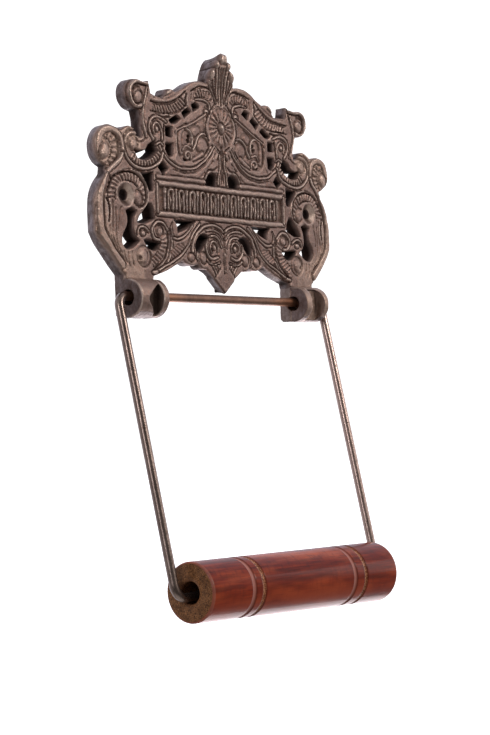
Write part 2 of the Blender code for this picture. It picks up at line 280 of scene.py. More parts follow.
def steel_material():
    n = Nodes(bpy.data.materials.new("worn_steel"))
    rust = n.attribute("rust")
    fine = n.noise(n.place((0.7, 0.7, 2.6)), 4.0)
    patch = n.noise(n.place((4, 4, 13)), 4.0, 0.6)
    metal = n.mix(n.ramp(patch, (0.35, 0.0), (0.72, 1.0)), (0.17, 0.125, 0.106), (0.28, 0.21, 0.178))
    rusty = n.mix(n.ramp(patch, (0.3, 0.0), (0.7, 1.0)), (0.11, 0.057, 0.038), (0.2, 0.11, 0.077))
    rusty = n.mix(n.attribute("orange"), rusty, (0.34, 0.15, 0.08))
    # painted light: the metal is darker on the left arm and lighter on the right arm, where the light falls
    shaded_metal, polished = n.mix(0.22, metal, (0.05, 0.03, 0.025)), n.mix(0.4, metal, (0.52, 0.37, 0.32))
    metal = n.mix(n.attribute("polish"), shaded_metal, polished)
    colour = n.mix(rust, metal, rusty)
    spots = n.ramp(n.noise(n.place((1.3, 1.3, 2.2)), 3.0), (0.6, 0.0), (0.7, 1.0))
    colour = n.mix(n.math("MULTIPLY", spots, 0.6), colour, (0.09, 0.05, 0.035))
    n.set(Base_Color=colour, Metallic=0.93)
    n.set(Roughness=n.ramp(n.math("ADD", fine, n.math("MULTIPLY", rust, 0.35)), (0.25, 0.21), (1.0, 0.48)))
    n.set(Normal=n.bump(fine, 0.03, 0.3))
    return n.owner


def wood_material():
    n = Nodes(bpy.data.materials.new("varnished_wood"))
    local = n.attribute("local", vector=True)
    end = n.attribute("end")
    ring = n.attribute("ring")
    streak = n.noise(n.place((26, 1.5, 1.5), local), 5.0, 0.6, 0.4)
    fine = n.noise(n.place((9, 0.35, 0.35), local), 4.0, 0.6)
    glow = n.noise(n.place((34, 9, 9), local), 2.0)
    body = n.ramp(streak, (0.3, (0.04, 0.0045, 0.003)), (0.5, (0.126, 0.011, 0.004)),
                  (0.7, (0.225, 0.027, 0.007)))
    body = n.mix(n.ramp(glow, (0.46, 0.0), (0.72, 0.85)), body, (0.36, 0.066, 0.02))
    cross = n.noise(n.place((1.6, 5.0, 5.0), local), 4.0, 0.6)
    body = n.mix(n.ramp(cross, (0.3, 0.5), (0.5, 0.0)), body, (0.05, 0.008, 0.006))
    body = n.mix(n.ramp(fine, (0.35, 0.5), (0.45, 0.0)), body, (0.03, 0.006, 0.004))
    # painted glow: the body's lower front is made warmer and lighter, where light falls
    warm = n.math("MULTIPLY", n.attribute("warm"), n.ramp(glow, (0.34, 0.25), (0.62, 0.9)))
    body = n.mix(warm, body, (0.27, 0.04, 0.012))
    # the raw end grain
    pores = n.noise(n.place((0.55, 0.42, 0.42), local), 3.0, 0.6)
    cloud = n.noise(n.place((4, 3.4, 3.4), local), 3.0)
    grain = n.mix(n.ramp(cloud, (0.35, 0.0), (0.7, 1.0)), (0.11, 0.044, 0.0155), (0.225, 0.096, 0.037))
    grain = n.mix(n.ramp(pores, (0.4, 0.9), (0.48, 0.0)), grain, (0.02, 0.01, 0.006))
    grain = n.mix(n.ramp(pores, (0.6, 0.0), (0.68, 0.7)), grain, (0.32, 0.19, 0.1))
    colour = n.mix(end, body, grain)
    # the scored rings, two of them golden, and the dark seam beside each
    gold = n.mix(n.ramp(pores, (0.42, 0.0), (0.62, 1.0)), (0.1, 0.03, 0.014), (0.5, 0.215, 0.11))
    worn = n.mix(n.attribute("gold"), (0.34, 0.135, 0.105), gold)
    colour = n.mix(ring, colour, worn)
    colour = n.mix(n.math("MULTIPLY", n.attribute("seam"), 0.75), colour, (0.035, 0.009, 0.006))
    n.set(Base_Color=colour, Specular_IOR_Level=0.04, Coat_Weight=0.15, Coat_Roughness=0.11)
    n.set(Roughness=n.math("ADD", n.ramp(streak, (0.3, 0.3), (0.7, 0.4)), n.math("MULTIPLY", end, 0.3)))
    n.set(Normal=n.bump(fine, 0.04, 0.5, n.bump(pores, 0.12, n.math("MULTIPLY", end, 0.9))))
    return n.owner


IRON, STEEL, WOOD = iron_material(), steel_material(), wood_material()

# ---------------------------------------------------------------- the plate's outline

FRONT = 6.1
# The right half from the top of the crest to the tip of the drop, as (x, z); a third item makes a corner.
OUTLINE = [
    (0, 62.6), (1.9, 61.8, 1), (2.1, 59.6, 1), (3.9, 59.3), (4.9, 57.8), (4.7, 56.1, 1), (6.6, 55.4),
    (8.0, 53.4), (8.0, 50.6), (8.3, 49.3, 1), (12.0, 49.7), (16.0, 49.2), (20.0, 47.6), (24.0, 45.3),
    (28.0, 43.5, 1), (31.0, 44.3), (33.6, 43.7), (34.6, 41.8), (36.0, 40.1, 1), (40.0, 40.2),
    (44.0, 40.6, 1), (45.0, 45.4, 1), (47.6, 44.3), (50.0, 44.2), (54.0, 44.7), (57.2, 42.8), (58.4, 39.6),
    (57.6, 36.2), (54.8, 33.7), (51.0, 32.9, 1), (49.8, 30.2), (49.2, 26.6), (49.4, 23.2, 1), (51.6, 23.5),
    (53.8, 26.2, 1), (56.4, 26.9), (59.2, 25.9), (61.5, 24.4, 1), (64.4, 25.2), (68.3, 25.5), (72.0, 23.6),
    (74.4, 19.7), (73.9, 15.2), (71.2, 11.9), (67.9, 10.2, 1), (68.0, 7.6, 1), (71.0, 4.0), (73.6, -0.8),
    (75.0, -6.0), (75.1, -11.0), (75.0, -15.0, 1), (72.3, -19.2), (68.6, -23.2), (64.6, -27.4),
    (60.8, -31.0, 1), (60.8, -33.0, 1), (44.5, -33.0, 1), (44.0, -31.0, 1), (40.5, -30.0), (35.2, -28.3),
    (30.5, -26.2), (26.4, -24.6, 1), (24.2, -26.0), (20.3, -26.8), (16.4, -25.6, 1), (14.4, -27.0),
    (11.4, -27.2, 1), (6.6, -30.6, 1), (6.3, -31.4, 1), (0, -36.8, 1),
]
PIERCINGS = [
    [(13.9, 38.9, 1), (15.9, 40.6, 1), (18.6, 39.4, 1), (17.7, 36.7, 1)],
    [(19.3, 36.4, 1), (21.3, 37.8, 1), (25.0, 35.6, 1), (23.4, 33.5, 1)],
    [(26.0, 32.8, 1), (28.0, 34.2, 1), (32.9, 31.5, 1), (31.2, 30.4, 1), (28.6, 31.0, 1)],
    [(31.2, 29.0, 1), (35.0, 28.9, 1), (35.0, 25.2, 1), (31.2, 25.0, 1)],
    [(30.7, 22.4, 1), (35.1, 22.3, 1), (35.4, 19.6, 1), (33.1, 16.9, 1), (31.1, 17.8, 1)],
    [(41.7, 22.6, 1), (40.1, 18.6, 1), (43.6, 15.9), (48.0, 14.5), (51.8, 15.4), (53.6, 18.2, 1),
     (50.0, 17.8), (47.2, 18.4), (45.6, 20.4)],
    [(34.6, 12.1, 1), (36.8, 14.7, 1), (39.9, 12.1, 1), (37.1, 9.6, 1)],
    [(43.2, 10.1, 1), (46.0, 9.5), (50.0, 9.1, 1), (48.0, 6.2), (46.6, 4.4), (45.4, 2.4, 1), (43.4, 3.0),
     (43.2, 6.0)],
    [(45.0, -2.6, 1), (47.2, -3.0), (49.0, -5.4), (51.6, -8.0), (52.8, -10.3, 1), (48.8, -10.4),
     (45.2, -9.2), (42.8, -8.2, 1), (43.6, -5.0)],
    [(53.6, -6.0, 1), (56.4, -5.0), (59.4, -6.2, 1), (58.6, -8.8), (59.0, -12.0), (61.2, -15.4),
     (61.6, -18.6), (59.4, -20.8), (55.8, -20.0), (52.2, -17.6, 1), (54.6, -15.4), (55.6, -12.6),
     (55.2, -8.8)],
    [(39.6, -17.8, 1), (43.4, -17.2), (47.0, -16.8), (49.4, -16.9, 1), (47.8, -19.2), (45.0, -20.7),
     (42.2, -20.4)],
    [(18.0, -7.9, 1), (31.0, -8.0, 1), (29.4, -10.0), (29.0, -12.9, 1), (24.2, -11.2)],
    [(9.4, -14.1, 1), (12.4, -12.9), (15.8, -13.6), (18.0, -16.6), (18.2, -19.4), (16.2, -20.6, 1),
     (14.0, -18.6), (12.0, -16.2)],
    [(4.3, 7.4, 1), (3.8, 10.9), (5.2, 12.4), (8.4, 11.9), (10.6, 9.6), (10.7, 7.4, 1)],
]
SCREW = (59.3, 0.0)
SCREW_RADIUS, SINK_RADIUS, SINK_DEPTH = 2.3, 4.6, 1.7
GRID = 0.40
EDGE_ROUND = 0.8
BACK_RIM, BACK_SUNK, BACK_GRID = 2.6, 2.2, 0.9
# the front's rings of points lie this far in from the edges, and its grid starts beyond them
FRONT_RINGS, GRID_MARGIN, BACK_MARGIN = (0.22, 0.5), 0.72, 0.6
MERGE_GAP, THINNEST = 1e-5, 1e-9


def circle(x, z, radius, count):
    angle = np.linspace(0, 2 * math.pi, count, endpoint=False)
    return np.stack([x + radius * np.cos(angle), z + radius * np.sin(angle)], 1)


def plate_loops():
    """The outline, then the right half's holes and the left half's, with the screw hole last in each half."""
    whole = OUTLINE + [(-p[0], *p[1:]) for p in reversed(OUTLINE) if p[0] > 0]
    outer = smooth_line(whole, GRID, closed=True)
    right = [smooth_line(hole, GRID, closed=True) for hole in PIERCINGS]
    right.append(circle(*SCREW, SCREW_RADIUS, 40))
    return [outer, *right, *[hole[::-1] * (-1, 1) for hole in right]]


LOOPS = plate_loops()
STARTS = np.cumsum([0] + [len(loop) for loop in LOOPS])
FOLLOWING = np.concatenate([start + np.roll(np.arange(len(loop)), -1) for start, loop in zip(STARTS, LOOPS)])
LOOP_A = np.concatenate(LOOPS)
LOOP_B = LOOP_A[FOLLOWING]


def right_hand(ahead):
    return np.stack([ahead[:, 1], -ahead[:, 0]], 1) / np.linalg.norm(ahead, axis=1)[:, None]


def outward(loop):
    """+1 or -1, which makes the right-hand normals of the loop point out of the metal."""
    area = (loop[:, 0] * np.roll(loop[:, 1], -1) - np.roll(loop[:, 0], -1) * loop[:, 1]).sum()
    return 1 if (area > 0) == (loop is LOOPS[0]) else -1


LOOP_NORMALS = right_hand(LOOP_B - LOOP_A) * np.concatenate([np.full((len(p), 1), outward(p)) for p in LOOPS])


def edge_distance(points):
    """Distance from each point to the nearest edge of the plate or of a piercing."""
    tree = kdtree.KDTree(len(LOOP_A))
    for index, (x, z) in enumerate(LOOP_A):
        tree.insert((x, z, 0.0), index)
    tree.balance()
    near = np.array([tree.find((x, z, 0.0))[1] for x, z in points])
    best = np.full(len(points), np.inf)
    for a in (np.argsort(FOLLOWING)[near], near):
        start, along = LOOP_A[a], LOOP_B[a] - LOOP_A[a]
        t = np.clip(((points - start) * along).sum(1) / (along**2).sum(1), 0, 1)
        best = np.minimum(best, np.linalg.norm(points - start - along * t[:, None], axis=1))
    return best


def inside_points(step, margin):
    """Points of a staggered grid that lie on the plate, at least this far from its edges."""
    found = []
    rows = np.arange(-38, 64, step * 0.87)
    for index, z in enumerate(rows):
        cross = (LOOP_A[:, 1] <= z) != (LOOP_B[:, 1] <= z)
        a, b = LOOP_A[cross], LOOP_B[cross]
        ends = np.sort(a[:, 0] + (z - a[:, 1]) * (b[:, 0] - a[:, 0]) / (b[:, 1] - a[:, 1]))
        xs = np.arange(-77, 77.1, step) + (index % 2) * step / 2
        xs = xs[np.searchsorted(ends, xs) % 2 == 1]
        found.append(np.stack([xs, np.full(len(xs), z)], 1))
    found = np.concatenate(found)
    distance = edge_distance(found)
    return found[distance > margin], distance[distance > margin]


def ring_points(inset):
    """The outlines set in by this much, without the points that this brings too near another edge."""
    found = np.concatenate([
        loop - right_hand(np.roll(loop, -1, axis=0) - np.roll(loop, 1, axis=0)) * inset * outward(loop)
        for loop in LOOPS
    ])
    distance = edge_distance(found)
    keep = np.abs(distance - inset) < inset * 0.12
    return found[keep], distance[keep]


def fill_points(insets, step, margin):
    """Rings of points along the edges and a grid between them, and how far each point is from the edges."""
    return [np.concatenate(group) for group in zip(*map(ring_points, insets), inside_points(step, margin))]


def enclosed(x, z, starts, ends):
    """Which of the points lie inside the loops that these segments make."""
    inside = np.zeros(len(x), bool)
    for a, b in zip(starts, ends):
        if a[1] != b[1]:
            inside ^= ((a[1] <= z) != (b[1] <= z)) & (x < a[0] + (z - a[1]) * (b[0] - a[0]) / (b[1] - a[1]))
    return inside


def triangles(points):
    """Triangles that fill the plate, over the loops' points followed by these."""
    whole = np.concatenate([LOOP_A, points])
    edges = list(enumerate(FOLLOWING.tolist()))
    made = delaunay_2d_cdt([Vector(p) for p in whole], edges, [], 2, MERGE_GAP, True)
    came_from = [min(ids) if ids else -1 for ids in made[3]]
    faces = np.array([[came_from[i] for i in face] for face in made[2]])
    faces = faces[(faces >= 0).all(1)]
    a, b, c = whole[faces[:, 0]], whole[faces[:, 1]], whole[faces[:, 2]]
    turn = (b[:, 0] - a[:, 0]) * (c[:, 1] - a[:, 1]) - (b[:, 1] - a[:, 1]) * (c[:, 0] - a[:, 0])
    faces[turn < 0] = faces[turn < 0][:, ::-1]
    faces = faces[np.abs(turn) > THINNEST]
    # a triangle with a point inside the plate is on it, and the others are tested by their middles
    spans = np.nonzero((faces < len(LOOP_A)).all(1))[0]
    keep = np.ones(len(faces), bool)
    middles = whole[faces[spans]].mean(1)
    keep[spans] = enclosed(middles[:, 0], middles[:, 1], LOOP_A, LOOP_B)
    return faces[keep]


# ---------------------------------------------------------------- the plate's relief

LINE_STEP = 0.35
SPIRAL_POINTS = 60


class Relief:
    """Heights, in millimetres above the plate's front plane, of points on its right half (x taken as |x|).
    A stroke's width is half of its own, or the halves at its two ends."""

    DEPTH = 0.75

    def __init__(self, points, distance):
        warp = [0.2 * flat_noise(points, 3.4, seed) for seed in (21, 22)]
        self.x, self.z = np.abs(points[:, 0] + warp[0]), points[:, 1] + warp[1]
        self.edge = distance
        self.h = np.zeros(len(points))

    def near(self, points, width, beyond=0.0):
        """The points within reach of the stroke: which they are, how far off, the half width there, how far
        along, on which side, and the stroke's length."""
        line = points if isinstance(points, np.ndarray) else smooth_line(points, LINE_STEP)
        first, last = width if isinstance(width, tuple) else (width, width)
        reach = max(first, last) + beyond
        low, high = line.min(0) - reach, line.max(0) + reach
        pick = np.nonzero((self.x > low[0]) & (self.x < high[0]) & (self.z > low[1]) & (self.z < high[1]))[0]
        spot = np.stack([self.x[pick], self.z[pick]], 1)
        best = np.full(len(pick), np.inf)
        along, side = np.zeros(len(pick)), np.zeros(len(pick))
        total = 0.0
        for a, b in zip(line, line[1:]):
            run = b - a
            length = math.hypot(*run)
            if length < THINNEST:
                continue
            off = spot - a
            t = np.clip(off @ run / length**2, 0, 1)
            gap = np.hypot(off[:, 0] - run[0] * t, off[:, 1] - run[1] * t)
            closer = gap < best
            best = np.where(closer, gap, best)
            along = np.where(closer, total + t * length, along)
            side = np.where(closer, np.sign(off[:, 0] * run[1] - off[:, 1] * run[0]), side)
            total += length
        keep = best < reach
        pick, best, along, side = pick[keep], best[keep], along[keep], side[keep]
        return pick, best, first + (last - first) * (along / total), along, side, total

    def ellipse(self, x, z, rx, rz, tilt):
        """How far each point is from (x, z), where 1 is on a tilted ellipse round it."""
        c, s = math.cos(math.radians(tilt)), math.sin(math.radians(tilt))
        dx, dz = self.x - x, self.z - z
        return np.hypot((dx * c + dz * s) / rx, (dz * c - dx * s) / rz)

    def raise_to(self, pick, off, half, top, moat, depth, power):
        """Sets a rounded top out to half, and a narrow ditch beyond it that climbs back to what is there."""
        raised = top - (top + depth) * np.minimum(off / half, 1) ** power
        climb = ease(np.clip((off - half) / moat, 0, 1))
        beyond = np.minimum(self.h[pick], -depth + (self.h[pick] + depth) * climb)
        self.h[pick] = np.where(off < half, raised, beyond)

    def band(self, points, width=1.0, top=0.2, moat=0.5, depth=DEPTH, power=3.0):
        """A raised band along the points."""
        pick, off, half, *_ = self.near(points, width, moat)
        self.raise_to(pick, off, half, top, moat, depth, power)

    def ball(self, x, z, rx, rz, top=0.5, moat=0.45, depth=0.6, power=3.6, tilt=0.0):
        small = min(rx, rz)
        off = self.ellipse(x, z, rx, rz, tilt) * small
        pick = np.nonzero(off < small + moat)[0]
        self.raise_to(pick, off[pick], small, top, moat, depth, power)

    def line(self, points, width=0.45, top=0.25):
        """A thin raised line, laid over what is there."""
        pick, off, half, *_ = self.near(points, width)
        self.h[pick] = np.maximum(self.h[pick], top - (top + 0.7) * np.minimum(off / half, 1) ** 2.4)

    def groove(self, points, width=0.42, depth=0.6):
        pick, off, half, *_ = self.near(points, width)
        self.h[pick] -= depth * (1 - np.minimum(off / half, 1) ** 2)

    def ribs(self, points, width, period=1.7, top=0.1, low=-0.7, slant=0.0):
        """A band of rounded ribs that lie across the points."""
        pick, off, half, along, side, total = self.near(points, width)
        wave = np.abs(np.cos(math.pi * (along + slant * side * off) / period))
        fade = np.clip((half - off) / 0.4, 0, 1)
        keep = (off < half) & (along > 0.02) & (along < total - 0.02)
        self.h[pick[keep]] = (low + (top - low) * wave**0.6 * fade)[keep]

    def sink(self, points, level, slope=0.5):
        """A flat sunk field inside a closed outline."""
        path = smooth_line(points, LINE_STEP, closed=True)
        path = np.concatenate([path, path[:1]])
        pick, off, *_ = self.near(path, 60.0)
        inside = enclosed(self.x[pick], self.z[pick], path, path[1:])
        self.h[pick] += (level - self.h[pick]) * ease(np.where(inside, np.clip(off / slope, 0, 1), 0))

    def dome(self, x, z, rx, rz, top, base=-0.8, tilt=0.0):
        u = self.ellipse(x, z, rx, rz, tilt)
        self.h = np.maximum(self.h, np.where(u < 1, top + (base - top) * u**2.2, -9))

    def spiral(self, x, z, outer, inner, start, turns, width, top):
        """A spiral band that starts at this angle, turning anticlockwise for positive turns."""
        t = np.linspace(0, 1, SPIRAL_POINTS)
        angle = math.radians(start) + turns * 2 * math.pi * t
        radius = outer + (inner - outer) * t**0.85
        self.band(np.stack([x + radius * np.cos(angle), z + radius * np.sin(angle)], 1), width, top)

    def countersinks(self):
        """A cone round each screw hole, in a narrow flat collar."""
        collar, level = 0.9, 0.05
        gap = np.hypot(self.x - SCREW[0], self.z - SCREW[1])
        cone = -SINK_DEPTH * np.clip((SINK_RADIUS - gap) / (SINK_RADIUS - SCREW_RADIUS), 0, 1)
        share = np.clip((SINK_RADIUS + collar - gap) / collar * 3, 0, 1)
        self.h += (level + cone - self.h) * share
        self.edge = np.where(gap < SINK_RADIUS + 0.5, 2 * EDGE_ROUND, self.edge)

    def round_edges(self):
        short = np.clip(1 - self.edge / EDGE_ROUND, 0, 1)
        self.h -= EDGE_ROUND * (1 - np.sqrt(np.maximum(1 - short**2, 0)))


def field(r):
    """The framed field beside the rosette, with its scrolls, and the swag and beads below it."""
    r.sink([(11.4, 35.8), (20, 32.0), (27.4, 28.8), (28.0, 24), (27.6, 17.6), (24.6, 15.4), (19.6, 15.9),
            (14.6, 19.0), (10.8, 23.4), (10.4, 30)], -0.5, 0.9)
    r.band([(22.4, 30.2), (25.6, 27.6), (26.4, 23.0), (25.6, 19.4)], (1.0, 1.5), -0.1, 0.5, 0.7)
    r.ball(16.6, 28.6, 3.3, 2.2, -0.12, 0.6, 0.75, tilt=-18)
    r.ball(12.6, 23.4, 3.9, 3.5, 0.0, 0.6, 0.8, 4.0)
    r.band([(9.6, 27.9), (12.4, 28.2), (15.4, 26.2), (16.9, 23.2), (18.4, 21.3)], (0.5, 0.8), 0.15, 0.45)
    r.groove([(6.9, 23.8), (8.6, 22.0), (10.3, 21.2)], 0.4, 0.6)
    r.band([(19.1, 22.6), (18.9, 25.4), (20.1, 28.4), (22.6, 29.2)], (0.75, 0.6), 0.15, 0.45)
    for x, z in ((20.7, 26.3), (21.2, 24.4), (23.2, 16.9)):
        r.ball(x, z, 0.75, 0.6, -1.5, 0.4, 1.6)
    r.band([(12.6, 19.8), (15.6, 18.2), (18.6, 16.8)], (1.3, 0.7), 0.0, 0.45)
    r.spiral(21.8, 18.3, 2.3, 0.6, 210, -1.2, (0.75, 0.6), 0.05)
    r.band([(15.4, 32.6), (18.4, 31.2)], (0.5, 0.35), -0.05, 0.4)
    r.band([(19.8, 21.6), (22.8, 22.2), (25.0, 20.2)], (0.6, 0.4), 0.0, 0.4)
    # the swag: three parallel mouldings
    r.band([(5.2, 23.6), (9.6, 18.6), (14.6, 15.0), (20.0, 13.2), (26.4, 12.9), (31.6, 14.2), (36.4, 17.6),
            (39.2, 21.4)], (0.6, 0.75), 0.2, 0.4)
    r.line([(7.0, 23.4), (11.2, 18.6), (15.6, 16.1), (20.4, 14.7), (26.2, 14.4), (31.4, 15.8)], 0.5, 0.15)
    r.line([(9.0, 23.2), (12.4, 19.4), (16.4, 17.2), (20.8, 16.0), (26.0, 15.7)], 0.4, -0.1)
    r.groove([(6.2, 21.0), (11.0, 15.4), (17.0, 12.2), (24.0, 11.2), (31.0, 12.0)], 0.45, 0.5)
    r.groove([(10.8, 12.8), (14.6, 10.0), (22.0, 9.3), (33.0, 9.3)], 0.4, 0.4)
    for x, z in ((8.0, 15.6), (10.9, 12.9), (13.8, 12.2), (16.9, 11.4), (19.8, 10.8), (22.7, 10.5),
                 (25.4, 10.5), (28.0, 10.8), (30.6, 11.4), (33.0, 12.4)):
        r.dome(x, z - 0.1, 0.75, 0.65, 0.22, -0.7)
    # the mouldings that frame it
    r.band([(9.6, 36.4), (13.8, 34.2), (20.4, 31.0), (27.8, 28.0), (28.8, 26.8)], 0.55, 0.1, 0.35, 0.6)
    r.line([(28.9, 28.6), (28.9, 23.4), (28.8, 18.6), (30.2, 15.9)], 0.5, 0.3)


def crest(r):
    """The two crest arms with their ribs, the curl at the middle and the horn and ball at the end."""
    r.ribs([(6.6, 41.6), (7.4, 43.6), (10.0, 44.9), (13.2, 44.8), (16.2, 43.4)], (1.6, 2.1), 1.7, 0.0, -0.7,
           0.2)
    r.groove([(3.9, 41.6), (4.6, 44.4), (7.0, 46.8), (10.6, 47.5), (14.6, 46.9), (19.0, 45.0)], (0.55, 0.3),
             0.95)
    r.line([(5.2, 42.0), (6.0, 44.6), (8.2, 46.2), (11.6, 46.4)], (0.5, 0.35), 0.2)
    r.band([(16.4, 41.8), (12.6, 42.2), (9.0, 41.6), (7.4, 39.8), (7.6, 37.4)], (0.5, 0.75), 0.2, 0.4)
    r.ball(9.6, 37.0, 1.9, 1.7, 0.45)
    r.groove([(7.9, 38.9), (9.3, 39.9), (10.9, 39.1)], 0.35, 0.5)
    for x in (15.6, 17.1, 18.6):
        r.groove([(x, 45.2 - 0.5 * (x - 15.6)), (x + 0.7, 41.8 - 0.2 * (x - 15.6))], 0.4, 0.45)
    r.ribs([(22.9, 41.0), (27.0, 38.0), (31, 36.5), (35, 35.7), (43.0, 35.2)], (2.35, 1.4), 1.72, 0.0,
           -0.75, 0.42)
    r.groove([(22.2, 44.4), (27.0, 41.0), (32, 38.9), (37, 37.8), (44.2, 37.3)], (0.35, 0.5), 0.8)
    r.groove([(22.6, 38.6), (26.6, 35.6), (31, 34.3), (36, 33.9), (44.6, 33.7)], 0.35, 0.55)
    r.groove([(21.7, 43.4), (22.5, 40.8), (22.2, 38.6)], 0.5, 0.95)
    r.line([(20.9, 43.6), (21.5, 41.0), (21.2, 38.4), (25.6, 35.4)], 0.5, 0.2)
    r.groove([(24.4, 44.4), (29.2, 41.6), (34.4, 39.9), (42, 39.2)], 0.35, 0.3)
    r.groove([(32.6, 32.9), (36.4, 32.3), (41.0, 32.2), (45.0, 30.6)], (0.5, 0.6), 0.9)
    r.band([(32.0, 43.2), (34.6, 42.0), (36.6, 41.2)], (1.0, 0.5), 0.5, 0.4, 0.2)
    # the horn, and the band that curls round its ball
    r.groove([(45.5, 43.6), (46.0, 41.2), (46.9, 38.4)], (0.55, 0.35), 0.7)
    r.band([(45.9, 44.4), (47.6, 39.2), (49.0, 34.6), (49.2, 30.8), (48.0, 26.8), (46.6, 23.8)], (0.5, 1.0),
           0.35, 0.45, 0.45)
    r.band([(46.6, 43.6), (50.0, 43.7), (53.4, 43.8), (56.4, 41.8), (57.1, 38.6), (55.8, 35.8), (53.2, 34.4),
            (50.8, 34.6)], (0.9, 1.35), 0.75, 0.55)
    r.ball(52.6, 38.1, 3.2, 3.2, 0.45, 0.5, 0.5)
    r.groove([(50.0, 39.6), (52.0, 40.2), (54.2, 38.9), (55.2, 37.0)], 0.4, 0.55)
    r.groove([(51.0, 41.6), (53.4, 41.7), (55.0, 40.4)], 0.4, 0.6)


def shell(r):
    """The fluted shell of the crest, and how it curls out over its base."""
    r.sink([(0, 40), (3.0, 41.6), (4.6, 45.4), (7.4, 49.0), (8.0, 52.6), (4.8, 57.2), (1.8, 61.4),
            (0, 62.4)], 0.1)
    for flute in ([(0.2, 41), (0.3, 50), (0.7, 56)], [(1.5, 41.6), (1.8, 50), (2.3, 56.4)],
                  [(2.6, 42.6), (3.6, 48.6), (4.3, 54.8)], [(3.4, 43.6), (5.0, 48.0), (6.2, 52.8)]):
        r.groove(flute, (0.4, 0.65), 0.8)
    r.band([(3.3, 41.8), (4.6, 45.0), (7.0, 48.0), (7.6, 50.8)], (0.45, 0.6), 0.3, 0.4)
    r.ball(1.0, 60.0, 2.1, 2.3, 1.1, 0.6, 0.1)
    r.ball(3.6, 57.4, 1.6, 1.7, 0.8, 0.5, 0.1)
    r.ball(6.3, 53.0, 1.7, 2.4, 0.6, 0.5, 0.1, tilt=25)
    lean = np.clip((r.z - 46) / 13, 0, 1)
    r.h += np.where((r.x < 8.8) & (r.z > 46), 1.7 * ease(lean), 0)


def rosette(r):
    """The daisy in the middle, its border, and the tassel below."""
    r.groove([(4.4, 40.8), (7.6, 37.2), (9.6, 33.6), (10.0, 29.4), (8.4, 25.8)], (0.4, 0.55), 0.75)
    r.groove([(0.9, 40.6), (3.0, 40.0), (5.2, 38.6)], 0.35, 0.5)
    dx, dz = r.x, r.z - 31.6
    angle, radius = np.arctan2(dz, dx), np.hypot(dx / 0.93, dz)
    petal = np.abs(np.cos(angle * 9 + 0.3 * np.sin(3 * angle)))
    zone = np.clip((radius - 2.7) / 0.5, 0, 1) * np.clip((8.9 - radius) / 0.7, 0, 1)
    r.h += zone * ((-0.72 + 0.8 * petal**0.55 * np.clip((9.6 - radius) / 3.4, 0.45, 1)) - r.h)
    r.ball(0, 31.6, 2.3, 2.5, 0.45, 0.5)
    r.ball(0, 31.9, 1.1, 1.4, 0.8, 0.4, -0.3)
    r.groove([(4.9, 24.2), (1.5, 21.5), (3.1, 18.0)], 0.42, 0.75)
    r.line([(5.9, 24.4), (2.8, 21.5), (3.9, 18.8)], 0.5, 0.25)
    r.groove([(0.5, 24.0), (0.45, 16.0), (0.6, 8.6)], 0.35, 0.55)
    r.band([(1.7, 20.6), (1.5, 15.6), (2.5, 11.6), (2.8, 8.2)], (0.5, 0.7), 0.2, 0.4)
    r.groove([(4.4, 20.6), (6.4, 17.0), (9.6, 14.2)], 0.4, 0.55)
    r.groove([(3.2, 15.4), (5.6, 14.0), (8.8, 13.7), (11.2, 11.2), (12.6, 8.9)], 0.4, 0.65)
    r.line([(3.0, 13.4), (5.4, 13.2), (8.8, 12.8), (10.9, 10.4), (11.7, 8.2)], 0.5, 0.3)
    r.dome(5.6, 18.2, 0.9, 1.6, 0.25, -0.5, tilt=-35)
    r.dome(7.0, 15.7, 0.9, 0.7, 0.2, -0.5)


def side_scrolls(r):
    """The inner volute, the crescent scroll and the outer volute."""
    r.band([(34.6, 30.6), (38.6, 32.0), (42.8, 31.4), (44.9, 28.8), (44.4, 25.4), (42.4, 22.8)], (0.6, 0.9),
           0.2, 0.45)
    r.groove([(35.8, 29.4), (36.2, 26.2), (37.0, 22.6)], (0.55, 0.4), 0.9)
    r.band([(37.6, 23.0), (37.6, 26.6), (39.2, 29.2), (41.6, 29.3), (42.6, 27.4), (41.9, 25.3)], (0.7, 0.6),
           0.15, 0.4)
    r.ball(40.4, 27.1, 1.25, 1.3, 0.35, 0.4)
    r.band([(36.6, 21.0), (38.6, 22.0), (40.8, 21.0)], (0.5, 0.6), 0.2, 0.4)
    r.ribs([(38.9, 19.2), (40.6, 16.4), (44.0, 14.3), (48.4, 13.1), (52.6, 13.7), (55.6, 15.8)],
           (1.75, 1.6), 1.6, 0.15, -0.7)
    r.band([(37.0, 18.2), (39.2, 14.2), (43.6, 11.9), (48.8, 10.8), (54.0, 11.6), (58.0, 14.2), (59.6, 18.2),
            (58.6, 22.0), (55.6, 24.2), (52.2, 24.6)], (0.65, 0.95), 0.3, 0.5)
    r.ball(54.7, 20.4, 3.0, 2.9, 0.3, 0.5)
    r.groove([(53.4, 22.2), (55.2, 22.0), (56.6, 20.4), (56.4, 18.6)], 0.4, 0.45)
    r.groove([(46.0, 24.4), (48.2, 22.0), (51.2, 20.9)], 0.4, 0.5)
    r.groove([(56.6, 25.6), (59.6, 23.2), (61.2, 20.2)], 0.4, 0.5)
    r.ribs([(71.2, 20.6), (68.9, 21.5), (66.2, 20.2), (65.0, 16.6), (65.6, 12.6), (67.2, 10.0)], (1.8, 1.6),
           2.0, 0.0, -0.75)
    r.groove([(66.8, 23.2), (64.0, 21.2), (63.0, 17.6), (63.4, 13.8), (65.8, 10.4)], (0.5, 0.8), 1.0)
    r.band([(62.2, 13.4), (61.1, 15.6), (60.8, 18.2), (61.9, 21.4), (64.6, 23.3), (68.2, 23.8), (71.0, 22.3),
            (72.5, 19.2), (72.4, 16.0), (71.3, 13.9)], (0.9, 1.8), 0.45, 0.45, 0.5, 6.0)
    r.ball(69.9, 15.5, 2.7, 3.3, 0.85, 0.3, 0.3, 3.0)


